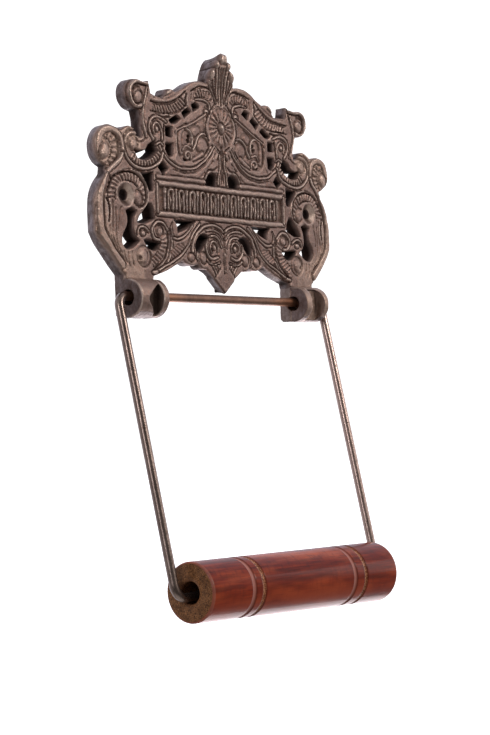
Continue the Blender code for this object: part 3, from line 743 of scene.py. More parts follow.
def low_scrolls(r):
    """The scroll round the screw hole, the long side, the ribbed inner volute and the oval on the foot."""
    r.groove([(48.2, 8.8), (52.6, 9.9), (58.4, 9.9), (63.2, 8.2)], 0.35, 0.45)
    r.ribs([(50.2, -2.6), (50.0, 1.6), (51.9, 5.0), (55.4, 6.9), (59.8, 7.0), (63.8, 5.2), (66.4, 1.8),
            (67.4, -2.4)], (1.9, 2.1), 1.75, 0.05, -0.65, 0.25)
    r.groove([(52.0, -4.4), (48.9, -3.1), (47.7, 0.4), (48.6, 4.6), (51.6, 7.6), (56.0, 9.0), (60.8, 8.6),
              (65.0, 6.0), (68.2, 1.6)], (0.5, 0.4), 0.9)
    r.line([(51.0, -5.2), (47.6, -3.4), (46.6, 0.4), (47.8, 5.2), (51.2, 8.5), (56.0, 9.9)], 0.5, 0.3)
    r.ball(52.3, -0.9, 2.6, 3.0, 0.15, 0.45)
    r.groove([(52.6, 3.4), (56.4, 5.4), (60.8, 5.0), (63.6, 2.6), (64.4, -0.6)], 0.4, 0.5)
    r.groove([(61.4, 4.6), (64.0, 1.9), (65.0, -1.4)], 0.4, 0.4)
    # the long side, its deep slot and the streaks that run down into the foot
    r.band([(61.1, 15.6), (62.2, 13.4), (66.2, 9.2), (70.2, 3.8), (72.6, -2.6), (73.1, -9.2), (72.3, -15.0),
            (69.0, -20.4), (62.8, -27.4)], (0.85, 2.2), 0.45, 0.55, 0.5, 5.0)
    r.groove([(66.0, 6.4), (69.2, 1.6), (71.0, -4.0), (71.3, -10.0), (70.2, -15.6), (66.4, -20.6),
              (60.6, -26.4)], (0.45, 0.35), 0.55)
    r.groove([(69.3, -2.2), (68.5, -6.0), (69.0, -10.6)], (0.6, 0.5), 1.9)
    for points in ([(66.9, -2.6), (66.9, -9.6), (67.2, -16.0), (64.4, -21.4), (60.6, -25.8)],
                   [(65.3, -5.6), (65.3, -12.0), (65.0, -18.0), (62.4, -22.8)],
                   [(62.4, -5.0), (63.6, -9.4), (64.0, -14.4)],
                   [(68.9, -12.6), (68.4, -16.6), (65.6, -21.2), (62.8, -24.0)],
                   [(56.6, -22.0), (56.6, -25.0), (55.9, -27.4)],
                   [(58.9, -22.4), (58.9, -25.6), (58.0, -27.8)],
                   [(61.2, -22.0), (60.6, -24.6), (59.6, -26.6)]):
        r.groove(points, (0.5, 0.35), 0.36)
    # the inner volute
    r.band([(44.6, -29.6), (40.4, -28.6), (36.6, -25.8), (33.9, -21.4), (33.0, -16.4), (33.8, -12.2)],
           (0.9, 0.6), 0.25, 0.45)
    r.ribs([(38.2, -14.0), (37.6, -17.2), (38.9, -20.6), (41.8, -23.6), (45.2, -26.2)], (2.0, 1.9), 1.65,
           0.05, -0.6, 0.3)
    r.groove([(36.6, -11.0), (35.2, -14.4), (35.1, -18.0), (36.6, -22.0), (39.8, -25.6), (43.6, -28.2)],
             (0.75, 0.5), 0.95)
    r.band([(35.6, -12.4), (37.8, -10.0), (41.0, -9.4), (43.9, -11.2), (44.7, -13.8), (43.2, -16.3),
            (40.6, -16.7)], (0.6, 0.85), 0.35, 0.45)
    r.ball(40.3, -13.0, 2.3, 2.2, 0.2, 0.4)
    r.groove([(39.4, -11.6), (41.2, -11.8), (42.0, -13.4)], 0.35, 0.4)
    r.band([(46.8, -13.6), (49.2, -12.1), (52.2, -12.4), (53.4, -14.8)], (0.7, 0.6), 0.25, 0.4)
    r.ball(50.2, -14.6, 1.7, 1.3, 0.3, 0.4)
    r.ball(49.6, -23.4, 4.1, 4.1, 0.2, 0.5)
    r.ball(50.2, -23.4, 2.9, 3.1, 0.3, 0.45, 0.35)
    r.ball(52.0, -24.2, 0.6, 0.6, -0.7, 0.4, 0.8)


def low_centre(r):
    """The leaf band under the frame, the two centre volutes, their knobs and the pointed drop."""
    r.ribs([(26.0, -17.2), (29.4, -20.0), (33.8, -22.8)], (2.6, 1.6), 1.5, -0.1, -0.55, 0.5)
    r.band([(19.6, -9.2), (24.2, -13.6), (29.0, -15.6), (32.0, -15.2)], (0.5, 0.8), 0.2, 0.4)
    r.line([(17.4, -9.4), (22.4, -14.4), (26.6, -16.6), (31.0, -17.4)], 0.5, 0.15)
    r.band([(32.6, -9.6), (33.4, -11.4), (32.6, -14.4)], (0.4, 0.6), 0.25, 0.35)
    r.band([(15.6, -8.9), (20.2, -13.4), (23.4, -18.4), (27.2, -21.9), (33.2, -24.9), (41.0, -28.6)],
           (0.65, 0.6), 0.3, 0.45)
    r.line([(14.2, -9.4), (19.0, -13.6), (22.4, -19.0), (26.0, -22.6), (32.6, -26.0)], 0.5, 0.2)
    r.band([(0.3, -11.6), (3.0, -9.6), (8.2, -8.9), (13.8, -10.4), (18.2, -14.0), (20.4, -18.4),
            (20.6, -22.2)], (0.6, 0.95), 0.3, 0.45)
    r.band([(1.0, -14.4), (3.2, -12.0), (7.2, -10.9), (11.6, -11.2)], (0.5, 0.6), 0.2, 0.4)
    r.band([(2.0, -17.6), (3.8, -14.6), (7.0, -13.2), (10.2, -14.2), (12.0, -17.6), (11.0, -20.9),
            (7.8, -22.8), (4.6, -22.0)], (0.55, 0.8), 0.3, 0.4)
    r.band([(4.6, -19.6), (4.5, -17.2), (6.2, -15.5), (8.4, -15.8), (9.6, -18.0), (8.4, -20.3)], (0.5, 0.6),
           0.3, 0.35)
    r.ball(6.8, -18.0, 1.2, 1.5, 0.45, 0.35)
    r.ball(13.7, -22.6, 2.4, 2.6, 0.2, 0.4)
    r.band([(17.4, -20.6), (18.0, -22.9), (17.2, -25.0)], (0.6, 0.5), 0.3, 0.35)
    r.ball(21.4, -23.3, 2.4, 2.1, 0.15, 0.4)
    # the leaf over the drop
    r.band([(3.4, -24.2), (6.4, -25.0), (9.6, -24.4), (11.4, -23.0)], (0.5, 0.5), 0.25, 0.4)
    r.band([(7.6, -25.8), (6.2, -27.4), (5.2, -29.6)], (0.5, 0.75), 0.3, 0.4)
    r.band([(4.4, -25.4), (3.2, -27.6), (1.8, -29.6)], (0.6, 0.45), 0.35, 0.4)
    r.sink([(0, -24.6), (3.0, -26.8), (6.6, -30.2, 1), (6.6, -31.6, 1), (0, -37.6, 1)], 0.15, 0.3)
    r.groove([(3.0, -26.4), (6.4, -30.0)], 0.4, 0.5)
    r.band([(0, -20.8), (0, -24.4), (0, -28.2)], (1.0, 0.5), 0.45, 0.4, 0.3)
    r.groove([(0, -21.6), (0, -27.0)], 0.4, 0.6)
    r.groove([(0.3, -10.8), (0.4, -19.4)], 0.35, 0.5)


def name_frame(r):
    """The long frame's mouldings, with a frieze of arches, drops and darts in it."""
    inside = (r.x < 42.0) & (np.abs(r.z) < 7.4)
    deep = (r.x < 40.1) & (np.abs(r.z) < 4.75)
    r.h[inside] = np.maximum(r.h[inside], 0.0)
    for z in (6.1, -6.1):
        r.band([(0, z, 1), (41.2, z, 1)], 1.15, 0.3, 0.45, 0.6, 5.0)
    r.band([(41.1, -5.6, 1), (41.1, 5.6, 1)], 0.75, 0.3, 0.4, 0.6, 4.0)
    r.band([(11.6, 8.6, 1), (40.6, 8.6, 1)], 0.95, 0.1, 0.45, 0.6, 5.0)
    r.h[deep] = -0.85
    pitch = 3.3
    for k in range(12):
        x = k * pitch
        bow = np.linspace(0, math.pi, 15)
        if k % 2:
            r.line([(x, 4.0, 1), (x, -4.0, 1)], (0.62, 0.45), 0.35)
            r.dome(x, 2.5, 0.85, 1.5, 0.4)
        else:
            top = np.stack([x + 1.5 * np.cos(bow), 2.3 + 1.7 * np.sin(bow)], 1)
            r.line(np.concatenate([[(x + 1.35, -4.1)], top, [(x - 1.35, -4.1)]]), 0.6, 0.35)
            r.dome(x, -0.9, 0.62, 2.9, 0.25)


def relief_heights(points, distance):
    r = Relief(points, distance)
    for carve in (crest, field, rosette, side_scrolls, low_scrolls, low_centre, name_frame, shell):
        carve(r)
    r.countersinks()
    r.round_edges()
    return r.h


# ---------------------------------------------------------------- the plate

CREST_FOOT = 49.6
# by height: half the crest's width at its back, and at its front
CREST_BACK = ((49.6, 53.1, 56.6, 59.4, 61.1, 62.2, 62.6), (7.9, 7.1, 5.9, 4.6, 3.3, 1.9, 0.0))
CREST_FRONT = ((49.6, 53.0, 57.5, 60.0, 62.6), (8.3, 8.1, 5.2, 2.8, 1.4))
# the rings of points down the walls, as shares of the depth, and how dark, with painted shade, the front's
# rim and each of these rings is in a notch of the outline
WALL_LEVELS = (0.66, 0.33, 0.09, 0.0)
WALL_SHADE = (0.0, 1.0, 0.9, 0.6, 0.3)
BACK_ROUND = 0.25
RIGHT_DRAFT, LEFT_DRAFT = 0.35, 0.85
# places where the casting is a little off its drawing: x, z, reach, and how far it moves in x and z
UNEVEN = [(-52, 40, 10, 1.2, 1.1), (54, 40, 9, 0.8, 0.0), (24, 46, 10, 0.0, 0.8), (-73, 5, 9, -1.3, 0.0),
          (75, -4, 9, -0.5, 0.0), (-68, 24, 8, 0.3, 0.8), (22, -24, 6, 0.0, 0.3), (-21, -26, 6, 0.3, 0.9)]


def draft(index):
    """How much this loop narrows towards the back: the outline and the two screw holes don't."""
    holes = len(PIERCINGS) + 1
    if index % holes == 0:
        return 0.0
    return RIGHT_DRAFT if index < holes else LEFT_DRAFT


def drawn_in(points, share, on_edge):
    """Points as they stand at the back, where the crest and the drop are narrower and plainer."""
    x, z = points[:, 0], points[:, 1]
    high = z > CREST_FOOT
    most, wide = np.interp(z, *CREST_BACK), np.interp(z, *CREST_FRONT)
    narrow = np.sign(x) * most if on_edge else x * np.minimum(most / wide, 1)
    lower = CREST_FOOT + (z - CREST_FOOT) * 0.87
    x = np.where(high, x + (narrow - x) * share, x)
    z = np.where(high, z + (lower - z) * share, z)
    # the drop's sides draw in a little too
    low = np.clip((-26.0 - z) / 3.0, 0, 1) * np.clip((13.5 - np.abs(x)) / 2.0, 0, 1)
    return np.stack([x - np.sign(x) * np.minimum(np.abs(x), 1.3 * low * share), z + 0.9 * low * share], 1)


def uneven(points):
    """Moves points of the plate in x and z by the casting's own unevenness."""
    moved = points.copy()
    for x, z, reach, dx, dz in UNEVEN:
        gap2 = ((points[:, 0] - x) ** 2 + (points[:, 2] - z) ** 2) / reach**2
        weight = np.exp(-(gap2**1.5))
        moved[:, 0] += dx * weight
        moved[:, 2] += dz * weight
    # the left edge leans out from its back to its front
    x, z, forward = -points[:, 0], points[:, 2], np.clip(-points[:, 1] / FRONT, 0, 1)
    volute = np.clip((x - 62) / 12, 0, 1) * np.clip((z - 7) / 6, 0, 1)
    rim = np.clip((x - 69.5) / 5, 0, 1) * np.clip((7 - z) / 4, 0, 1) * np.clip((z + 24) / 8, 0, 1)
    notch = np.exp(-(((x - 68.5) / 4) ** 2 + ((z - 8.5) / 4) ** 2))
    moved[:, 0] -= forward * (1.8 * volute + 1.8 * rim + 1.6 * notch * (x > 60))
    return moved


def wall_rings(rim_y):
    """Rings of points down the walls of the outline and of the holes, below the front's rim."""
    drafts = np.concatenate([np.full(len(loop), draft(index)) for index, loop in enumerate(LOOPS)])
    rings = []
    for level in WALL_LEVELS:
        bulge = drafts * (1 - level) + (0.1 * flat_noise(LOOP_A, 1.6, 9, level * 5) if level else -BACK_ROUND)
        share = min(1.0, 1.35 * (1 - level)) ** 0.55
        spot = drawn_in(LOOP_A + LOOP_NORMALS * bulge[:, None], share, True)
        rings.append(np.stack([spot[:, 0], rim_y * level, spot[:, 1]], 1))
    return rings


def hollow_back():
    """The back's points inside its rim, cast hollow, and the triangles over the loops' points and them."""
    spots, far = fill_points((BACK_RIM, BACK_RIM + 0.5), BACK_GRID, BACK_MARGIN)
    gap = np.hypot(np.abs(spots[:, 0]) - SCREW[0], spots[:, 1])
    sunk = ease(np.clip((far - BACK_RIM) / 1.4, 0, 1)) * np.clip((gap - 6.0) / 1.5, 0, 1)
    lump = 0.22 * flat_noise(spots, 5.0, 3) + 0.1 * flat_noise(spots, 1.7, 4)
    drawn = drawn_in(spots, 1.0, False)
    return np.stack([drawn[:, 0], -sunk * (BACK_SUNK + lump), drawn[:, 1]], 1), triangles(spots)


def front_wear(height, front):
    """Wear on what stands proud of its surroundings, and dirt in what lies below them."""
    edges = np.concatenate([front[:, [0, 1]], front[:, [1, 2]], front[:, [2, 0]]])
    total = np.bincount(edges.ravel(), minlength=len(height))
    smooth = height
    for _ in range(14):
        sums = sum(np.bincount(edges[:, i], smooth[edges[:, 1 - i]], len(height)) for i in (0, 1))
        smooth = 0.3 * smooth + 0.7 * sums / np.maximum(total, 1)
    return np.clip(0.5 + 0.75 * (height - smooth) + 0.12 * np.clip(height, -1, 1), 0, 1)


def make_plate():
    extra, far = fill_points(FRONT_RINGS, GRID, GRID_MARGIN)
    flat = np.concatenate([LOOP_A, extra])
    front = triangles(extra)
    height = relief_heights(flat, np.concatenate([np.zeros(len(LOOP_A)), far]))
    rough = 0.09 * flat_noise(flat, 2.1, 5) + 0.06 * flat_noise(flat, 0.9, 6)
    face = np.stack([flat[:, 0], -(FRONT + height + rough), flat[:, 1]], 1)

    rows = [np.arange(len(LOOP_A)) + (level and len(flat) + (level - 1) * len(LOOP_A))
            for level in range(len(WALL_LEVELS) + 1)]
    faces = [front]
    for upper, lower in zip(rows, rows[1:]):
        faces.append(np.stack([upper, upper[FOLLOWING], lower[FOLLOWING], lower], 1))
    back, back_triangles = hollow_back()
    behind = np.concatenate([rows[-1], rows[-1][-1] + 1 + np.arange(len(back))])
    faces.append(behind[back_triangles][:, ::-1])
    whole = np.concatenate([face, *wall_rings(face[:len(LOOP_A), 1]), back])
    polygons = [tuple(f) for group in faces for f in group.tolist()]
    plate = mesh_object("plate_relief", uneven(whole), polygons, IRON, 60)

    is_front = np.arange(len(whole)) < len(flat)
    wear = np.full(len(whole), 0.5)
    wear[is_front] = front_wear(height, front)
    wear[rows[0]] = 0.6
    # painted shade: the outer wall is darker where it lies in a notch of the outline, and the holes' walls
    # and rims darker still
    outer = len(LOOPS[0])
    around = sum(np.roll(LOOPS[0], shift, axis=0) for shift in range(-15, 16)) / 31
    notched = np.clip(((around - LOOPS[0]) * LOOP_NORMALS[:outer]).sum(1) / 0.5, 0, 1) * 0.75
    rear, hollow = np.zeros(len(whole)), np.zeros(len(whole))
    for level, row in enumerate(rows):
        rear[row[:outer]] = 1.0 if level else 0.3
        hollow[row[:outer]] = notched * WALL_SHADE[level]
        hollow[row[outer:]] = 1.0 if level else 0.25
    # painted highlight on the countersinks' right sides, where they face the light, and painted shade on the
    # rest of each
    over = whole[:, 0] - np.sign(whole[:, 0]) * SCREW[0]
    gap = np.hypot(over, whole[:, 2] - SCREW[1])
    lit_side = np.clip(-0.1 + 1.2 * (0.95 * over + 0.3 * whole[:, 2]) / np.maximum(gap, 1), 0, 1)
    hollow = np.maximum(hollow, np.clip((SINK_RADIUS - gap) / 0.4, 0, 1) * is_front * 0.35 * (1 - lit_side))
    on_cone = np.clip((SINK_RADIUS - gap) / 0.3, 0, 1) * np.clip((gap - SCREW_RADIUS) / 0.3, 0, 1)
    bright = on_cone * is_front * lit_side
    # the plate's sides and feet are paler
    x, z = np.abs(whole[:, 0]), whole[:, 2]
    rubbed = np.clip((np.hypot(x - 52, z + 2) - 17.5) / 4, 0, 1) * (x > 50) * (z < 27)
    foot = np.clip((-20 - z) / 5, 0, 1) * np.clip((x - 48) / 5, 0, 1)
    # the countersinks' painted highlight is laid into the pale tan as well
    tan = np.maximum(np.maximum(rubbed, foot) * is_front * 0.75, bright)
    add_attributes(plate, wear=wear, rear=rear, hollow=hollow, bright=bright * 0.7, tan=tan)
    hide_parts("back_plate")
    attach(plate, "wall_plate")


# ---------------------------------------------------------------- the knuckle lugs

KNUCKLE = (-7.1, -40.0)
KNUCKLE_RADIUS = 7.6
LUG_X = (44.5, 60.8)
POCKET_BACK = -10.1
STEP_Y = -5.6
ROD_HOLE = (-6.85, -39.8)
ROD_HOLE_RADIUS = 3.0
# the pocket in (x, z) and where it ends, how worn each slot is, the painted shade in its slot and on its
# inner side, and how pale each lug is, the right one partly with painted light
LUGS = {
    "left_lug": dict(
        side=-1, pocket_end=57.2, slot_wear_and_shade=0.2, slot_shade=0.62, inner_shade=0.08, tan=0.42,
        pocket=[(47.9, -34.2, 1), (50.2, -35.0), (54.0, -37.4), (56.6, -39.8, 1), (56.4, -41.4),
                (54.4, -43.4), (51.2, -46.2), (48.8, -48.6, 1), (47.9, -48.6, 1)]),
    "right_lug": dict(
        side=1, pocket_end=58.4, slot_wear_and_shade=0.4, slot_shade=0.1, inner_shade=0.0, tan=1.0,
        pocket=[(48.9, -33.9, 1), (55.6, -33.9), (57.4, -35.8), (57.9, -40.0), (57.2, -44.4),
                (55.2, -48.6, 1), (48.9, -48.6, 1)]),
}


def neighbours(count):
    return [(i, (i + 1) % count) for i in range(count)]


def prism(name, outline, span, axis=0):
    """An outline in (y, z) given a thickness along x, or one in (x, z) given it along y, which is axis 1."""
    shape = bmesh.new()
    flat = np.array(outline, float)
    low, high = [[shape.verts.new(spot) for spot in np.insert(flat, axis, level, axis=1) * MM]
                 for level in span]
    shape.faces.new(low)
    shape.faces.new(high)
    for i, j in neighbours(len(outline)):
        shape.faces.new((low[i], low[j], high[j], high[i]))
    bmesh.ops.recalc_face_normals(shape, faces=shape.faces)
    mesh = bpy.data.meshes.new(name)
    shape.to_mesh(mesh)
    shape.free()
    return add_object(name, mesh)


def cut_and_soften(lug, cutters):
    """Cuts the lug, remeshes it and rounds its edges, and leaves the result as its mesh."""
    for cutter in cutters:
        made = lug.modifiers.new(cutter.name, "BOOLEAN")
        made.operation = "DIFFERENCE"
        made.solver = "EXACT"
        made.object = cutter
    remesh = lug.modifiers.new("remesh", "REMESH")
    remesh.mode = "VOXEL"
    remesh.voxel_size = 0.3 * MM
    soften = lug.modifiers.new("soften", "SMOOTH")
    soften.iterations = 5
    soften.factor = 0.5
    mesh = bpy.data.meshes.new_from_object(lug.evaluated_get(bpy.context.evaluated_depsgraph_get()))
    lug.modifiers.clear()
    lug.data = mesh
    for cutter in cutters:
        bpy.data.objects.remove(cutter, do_unlink=True)


def vertex_values(mesh, member):
    values = np.empty(len(mesh.vertices) * 3)
    mesh.vertices.foreach_get(member, values)
    return values.reshape(-1, 3)


def make_lug(name, side, pocket, pocket_end, slot_wear_and_shade, slot_shade, inner_shade, tan):
    def span(a, b):
        return sorted((side * a, side * b))

    angle = [math.radians(92 - 190 * k / 40) for k in range(41)]
    knuckle = [(KNUCKLE[0] - KNUCKLE_RADIUS * math.cos(a), KNUCKLE[1] + KNUCKLE_RADIUS * math.sin(a))
               for a in angle]
    outline = [(-0.02, -30.4), (-5.3, -30.4), (-5.5, -32.4), *knuckle, (-1.4, -47.5), (-0.02, -46.4)]
    lug = prism(name, outline, span(*LUG_X))
    slot = prism("slot", smooth_line(pocket, 0.5, closed=True) * (side, 1), (-20.0, POCKET_BACK), axis=1)
    step = prism("step", [(STEP_Y, -33.2), (-20, -33.2), (-20, -50), (STEP_Y, -50)],
                 span(LUG_X[0] - 3, LUG_X[0] + 0.55))
    hole = prism("hole", circle(*ROD_HOLE, ROD_HOLE_RADIUS, 48), span(LUG_X[0] - 4, LUG_X[1] + 4))
    cut_and_soften(lug, [slot, step, hole])
    mesh = lug.data
    spot, normal = vertex_values(mesh, "co") / MM, vertex_values(mesh, "normal")
    rough = 0.07 * hash_noise(*spot.T, 1.4, 12) + 0.04 * hash_noise(*spot.T, 0.7, 13)
    mesh.vertices.foreach_set("co", ((spot + normal * rough[:, None]) * MM).ravel())
    mesh.materials.clear()
    mesh.materials.append(IRON)
    mesh.shade_smooth()

    x, y, z = np.abs(spot[:, 0]), spot[:, 1], spot[:, 2]
    radius = np.hypot(y - KNUCKLE[0], z - KNUCKLE[1])
    # rubbed bright along the knuckle's edges
    across = np.minimum.reduce([np.abs(x - edge) for edge in (*LUG_X, pocket[0][0])])
    rim = np.clip((radius - KNUCKLE_RADIUS + 0.9) / 0.6, 0, 1) * np.clip(1.2 - across / 0.5, 0, 1)
    patchy = np.clip(0.65 + 0.5 * hash_noise(*spot.T, 3.1, 21), 0, 1)
    rim *= np.clip((KNUCKLE[0] + 0.5 - y) / 2.5, 0, 1) * patchy
    # dark in the pocket and the rod's hole, partly dirt and partly painted shade, and painted shade on the
    # sides
    within = (x > pocket[0][0] - 0.3) & (x < pocket_end) & (y < POCKET_BACK + 0.5)
    in_slot = within & (radius < KNUCKLE_RADIUS - 0.55)
    in_hole = np.hypot(y - ROD_HOLE[0], z - ROD_HOLE[1]) < ROD_HOLE_RADIUS + 0.15
    wear = np.where(in_hole, 0.15, np.where(in_slot, slot_wear_and_shade, 0.52 + 0.42 * rim))
    side_face, outer, stepped = np.abs(normal[:, 0]) > 0.8, x > LUG_X[1] - 0.6, y > STEP_Y
    shown = side_face & ~in_slot
    rear = np.where(shown, np.where(outer, 0.75, np.where(stepped, 0.9, 0.55)), 0.0)
    rear = np.maximum(rear, np.where(normal[:, 2] < -0.7, 0.9, 0))
    dark = np.where(shown & ~outer & (y < STEP_Y), inner_shade, np.where(side_face & outer, 0.12, 0.0))
    add_attributes(lug, wear=wear, rear=rear, hollow=np.where(in_slot, slot_shade, dark),
                   # painted light: the inner side faces behind the step are made a little brighter
                   bright=np.maximum(rim * 0.7, (side_face & ~outer & stepped) * 0.14),
                   # the pale tan, on the right lug partly painted light where its front is lit
                   tan=np.where(rear > 0.1, 0, tan))
    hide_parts("back_plate")
    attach(lug, "wall_plate")


# ---------------------------------------------------------------- the bail

WIRE_RADIUS = 1.85
WIRE_SIDES = 28
ROD = np.array((-6.25, -39.2))
BAIL_LENGTH = 117.3
SWING_OUT = math.radians(12.7)
ARM_X = 65.9
END_X = 47.5
BEND_RADII = (5.4, 4.4, 4.4, 5.4)
# the wire's two cut ends are a little domed: how far out, and the share of its radius
TIP = ((0.35, 0.93), (0.6, 0.72), (0.72, 0.35))


def bail_place(x, down):
    """A point of the bail's plane in the holder's frame, from its x and its distance down from the rod."""
    return np.array((x, ROD[0] - down * math.sin(SWING_OUT), ROD[1] - down * math.cos(SWING_OUT)))


def bent(corners, radii, arc_steps):
    """A path through the corners with each of them rounded to its radius."""
    path = [corners[0]]
    for before, corner, after, radius in zip(corners, corners[1:], corners[2:], radii):
        back = (before - corner) / np.linalg.norm(before - corner)
        ahead = (after - corner) / np.linalg.norm(after - corner)
        half = math.acos(np.clip(back @ ahead, -1, 1)) / 2
        centre = corner + (back + ahead) / np.linalg.norm(back + ahead) * radius / math.sin(half)
        start, end = [corner + way * radius / math.tan(half) - centre for way in (back, ahead)]
        turn = math.pi - 2 * half
        for t in np.arange(arc_steps + 1) / arc_steps:
            spot = math.sin((1 - t) * turn) * start + math.sin(t * turn) * end
            path.append(centre + spot / math.sin(turn))
    return [*path, corners[-1]]


def refine(path, longest):
    out = [path[0]]
    for a, b in zip(path, path[1:]):
        parts = max(1, math.ceil(np.linalg.norm(b - a) / longest))
        out += [a + (b - a) * k / parts for k in range(1, parts + 1)]
    return np.array(out)


def tube_faces(rows, sides):
    """Quads between rings of points, for these pairs of rings."""
    return [(k * sides + i, k * sides + j, m * sides + j, m * sides + i)
            for k, m in rows for i, j in neighbours(sides)]


def make_bail():
    corners = [bail_place(x, down) for x, down in ((-END_X, BAIL_LENGTH), (-ARM_X, BAIL_LENGTH), (-ARM_X, 0),
                                                   (ARM_X, 0), (ARM_X, BAIL_LENGTH), (END_X, BAIL_LENGTH))]
    path = refine(bent(corners, BEND_RADII, 14), 2.0)
    plane = np.array((0, -math.cos(SWING_OUT), math.sin(SWING_OUT)))
    ahead = np.gradient(path, axis=0)
    ahead /= np.linalg.norm(ahead, axis=1)[:, None]
    cos, sin = circle(0, 0, 1, WIRE_SIDES).T[:, :, None]

    def ring(index, out=0.0, share=1.0):
        spoke = cos * np.cross(ahead[index], plane) + sin * plane
        return path[index] + ahead[index] * out + WIRE_RADIUS * share * spoke

    rings = [ring(0, -out, share) for out, share in reversed(TIP)]
    rings += [ring(index) for index in range(len(path))]
    rings += [ring(-1, out, share) for out, share in TIP]
    points = np.concatenate(rings)
    faces = tube_faces(neighbours(len(rings))[:-1], WIRE_SIDES)
    faces += [tuple(range(WIRE_SIDES))[::-1], tuple(range(len(points) - WIRE_SIDES, len(points)))]
    bail = mesh_object("bail_wire", points, faces, STEEL, 50)
    # rust where it turns in the lugs
    x, down = np.abs(points[:, 0]), np.hypot(points[:, 1] - ROD[0], points[:, 2] - ROD[1])
    rust = np.clip(1.25 - down / 9.0, 0, 1) * np.clip((64.5 - x) / 4.0, 0, 1)
    # painted light: lighter towards the right arm
    add_attributes(bail, rust=rust, polish=np.clip(0.5 + points[:, 0] / 100, 0, 1),
                   orange=np.clip((x - 26) / 18, 0, 1) * rust * 0.8)
    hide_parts("wire_bail")
    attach(bail, "bail")


# ---------------------------------------------------------------- the roller

ROLLER_HALF, ROLLER_RADIUS, BORE_RADIUS = 60.0, 11.8, 4.4
ROLLER_ENDS = (np.array((-60.0, -33.493, -151.914)), np.array((60.0, -33.767, -155.070)))
RINGS = (-35.5, -29.4, 30.7, 38.2)
GOLD_RINGS = (-29.4, 38.2)
ROLLER_SIDES = 128
EDGE = 0.85
RING_DIP = 0.55
# the right end's rows from the bore's edge outwards: how far along past ROLLER_HALF, and the radius
END_ROWS = ((0, 4.95), (0.12, 6.0), (0.15, 8.0), (0.1, 10.0), (0, ROLLER_RADIUS - EDGE))


def roller_end():
    """(along, radius, end-grain, ring) of the right end, from its bore to its outside."""
    rows = [(ROLLER_HALF + past, radius, 1, 0) for past, radius in END_ROWS]
    for a in np.radians((30, 60, 90)):
        across, out = EDGE * (1 - math.cos(a)), EDGE * math.sin(a)
        rows.append((ROLLER_HALF - across, ROLLER_RADIUS - EDGE + out, 0.25, 0.35))
    return rows


def roller_section():
    """(along, radius, end-grain, ring) from the right end to the left one, and back along the bore."""
    body = [(x, ROLLER_RADIUS, 0, 0) for x in np.linspace(58.6, -58.6, 60)
            if all(abs(x - mark) > 1.7 for mark in RINGS)]
    for mark in RINGS:
        wide = 1.55 if mark in GOLD_RINGS else 1.6
        for u in (-1.05, -0.8, -0.6, -0.4, -0.15, 0.15, 0.4, 0.6, 0.8, 1.05):
            dip = RING_DIP * max(0.0, 1 - (abs(u) / 0.72) ** 3)
            shade = 1.0 if abs(u) < 0.5 else (0.4 if abs(u) < 0.7 else 0)
            body.append((mark + u * wide, ROLLER_RADIUS - dip, 0, shade))
    body.sort(key=lambda row: -row[0])
    left = [(-x, *rest) for x, *rest in reversed(roller_end())]
    bore = [(x, BORE_RADIUS, 1, 0) for x in (-59.0, -50, -35, -15, 15, 35, 50, 59.0)]
    return [*roller_end(), *body, *left, (-59.5, 4.45, 1, 0.15), *bore, (59.5, 4.45, 1, 0.15)]


def make_roller():
    left, right = ROLLER_ENDS
    along = (right - left) / np.linalg.norm(right - left)
    first = np.cross(along, (0, 0, 1))
    first /= np.linalg.norm(first)
    second = np.cross(along, first)
    x, radius, end, ring = np.array(roller_section()).T[:, :, None, None] * np.ones((1, 1, ROLLER_SIDES, 1))
    a, b = radius * circle(0, 0, 1, ROLLER_SIDES).T[:, None, :, None]
    # the outside, and not the bore, is thicker, lower and longer towards the right
    outside = radius >= BORE_RADIUS + 0.6
    share = (x + ROLLER_HALF) / (2 * ROLLER_HALF)
    swell = outside * (share - 0.15) / ROLLER_RADIUS
    lower = outside * (0.95 * share - 0.15)
    reach = np.maximum(0, (x - 50) / 10)
    centre = (left + right) / 2 + (x + reach) * along - lower * (0, 0, 1)
    points = (centre + (1 + swell) * (a * first + b * second)).reshape(-1, 3)
    roller = mesh_object("roller_wood", points, tube_faces(neighbours(len(x)), ROLLER_SIDES), WOOD, 40)
    x, a, b, end, ring = [values.ravel() for values in (x, a, b, end, ring)]
    beside = np.min([np.abs(np.abs(x - mark) - 1.15) for mark in RINGS], axis=0)
    add_attributes(roller, local=np.stack([x, a, b], 1), end=end, ring=ring,
                   # painted light on the lower front of the roller
                   warm=np.clip((0.72 * a + 0.69 * b) / ROLLER_RADIUS, 0, 1) ** 2,
                   gold=np.min([np.abs(x - mark) for mark in GOLD_RINGS], axis=0) < 2.0,
                   seam=np.clip(1 - beside / 0.35, 0, 1) * (end == 0))
    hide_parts("wooden_roller")
    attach(roller, "roller")


make_plate()
for lug_name, looks in LUGS.items():
    make_lug(lug_name, **looks)
make_bail()
make_roller()

# ---------------------------------------------------------------- stage and light

TOWARDS_LIGHT = (0.45, 0.75, 0.48)
FLOOR_M, FLOOR_HALF_M, BACKDROP_RADIUS_M = -0.42, 6.0, 8.0


def paper_material():
    """White paper that the camera sees evenly lit."""
    n = Nodes(bpy.data.materials.new("stage_paper"))
    n.set(Base_Color=(0.9, 0.9, 0.9, 1), Roughness=1.0, Specular_IOR_Level=0.0, Emission_Color=(1, 1, 1, 1),
          Emission_Strength=1.0)
    return n.owner


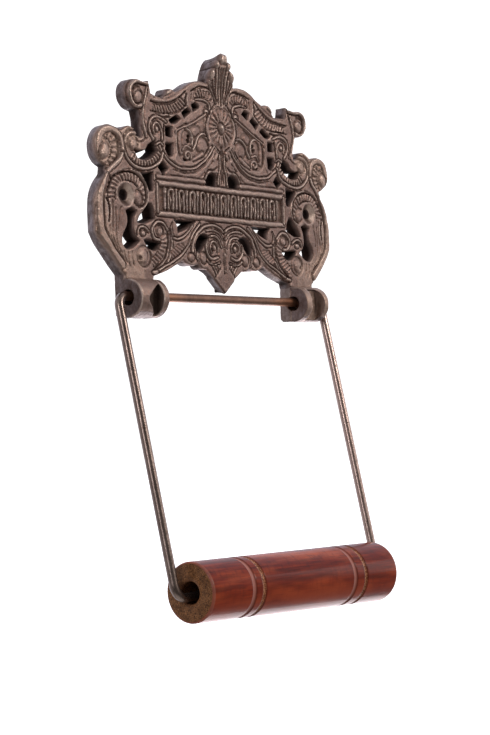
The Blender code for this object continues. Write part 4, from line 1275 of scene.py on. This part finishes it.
def make_stage():
    """A white floor and backdrop that only the camera sees, so that they don't wash out its tones."""
    paper = paper_material()
    floor, backdrop = bmesh.new(), bmesh.new()
    bmesh.ops.create_grid(floor, x_segments=1, y_segments=1, size=FLOOR_HALF_M)
    bmesh.ops.create_uvsphere(backdrop, u_segments=48, v_segments=24, radius=BACKDROP_RADIUS_M)
    for name, shape, height in (("floor", floor, FLOOR_M), ("backdrop", backdrop, 0.0)):
        mesh = bpy.data.meshes.new(name)
        shape.to_mesh(mesh)
        shape.free()
        mesh.materials.append(paper)
        made = add_object(name, mesh)
        made.location = (0, 0, height)
        made.visible_diffuse = False
        made.visible_glossy = False
        made.visible_transmission = False
        made.visible_shadow = False


def make_world():
    """A white tent that is bright behind and above the holder and dim in front of it."""
    n = Nodes(bpy.data.worlds.new("studio"))
    around = n.node("ShaderNodeTexCoord").outputs["Generated"]
    facing = n.node("ShaderNodeVectorMath", {0: around, 1: Vector(TOWARDS_LIGHT).normalized()},
                    operation="DOT_PRODUCT").outputs["Value"]
    share = n.node("ShaderNodeMapRange", {"Value": facing, "From Min": -1.0})
    tent = n.ramp(share, (0.05, (0.1, 0.097, 0.095)), (0.4, (0.35, 0.34, 0.34)), (0.62, (0.84, 0.84, 0.9)),
                  (0.9, (1.2, 1.22, 1.4)))
    steep = n.math("ABSOLUTE", n.node("ShaderNodeSeparateXYZ", {0: around}).outputs["Z"])
    poles = n.node("ShaderNodeMapRange", {"Value": steep, "From Min": 0.5, "From Max": 0.9, "To Max": 0.85})
    n.set(Color=n.mix(1.0, tent, poles, "LIGHTEN"), Strength=1.0)
    bpy.context.scene.world = n.owner
    bpy.context.scene.view_settings.view_transform = "Standard"


def area_light(name, at, target, size, power, colour):
    data = bpy.data.lights.new(name, "AREA")
    data.shape = "RECTANGLE"
    data.size, data.size_y = size[0] * MM, size[1] * MM
    data.energy = power
    data.color = colour
    light = add_object(name, data)
    light.location = Vector(at) * MM
    light.rotation_euler = (Vector(target) - Vector(at)).to_track_quat("-Z", "Y").to_euler()
    light.visible_camera = False


make_stage()
make_world()
area_light("key", (430, -960, 480), (0, 0, -40), (350, 300), 7.0, (1.0, 0.97, 0.94))
area_light("right", (880, -470, 40), (60, 0, -20), (300, 400), 0.9, (1.0, 0.96, 0.95))
area_light("side", (-1000, -250, 250), (0, 0, -60), (250, 500), 3.5, (0.94, 0.94, 1.0))
area_light("under", (700, 330, -600), (0, -30, -120), (520, 900), 5.2, (1.0, 0.91, 0.93))
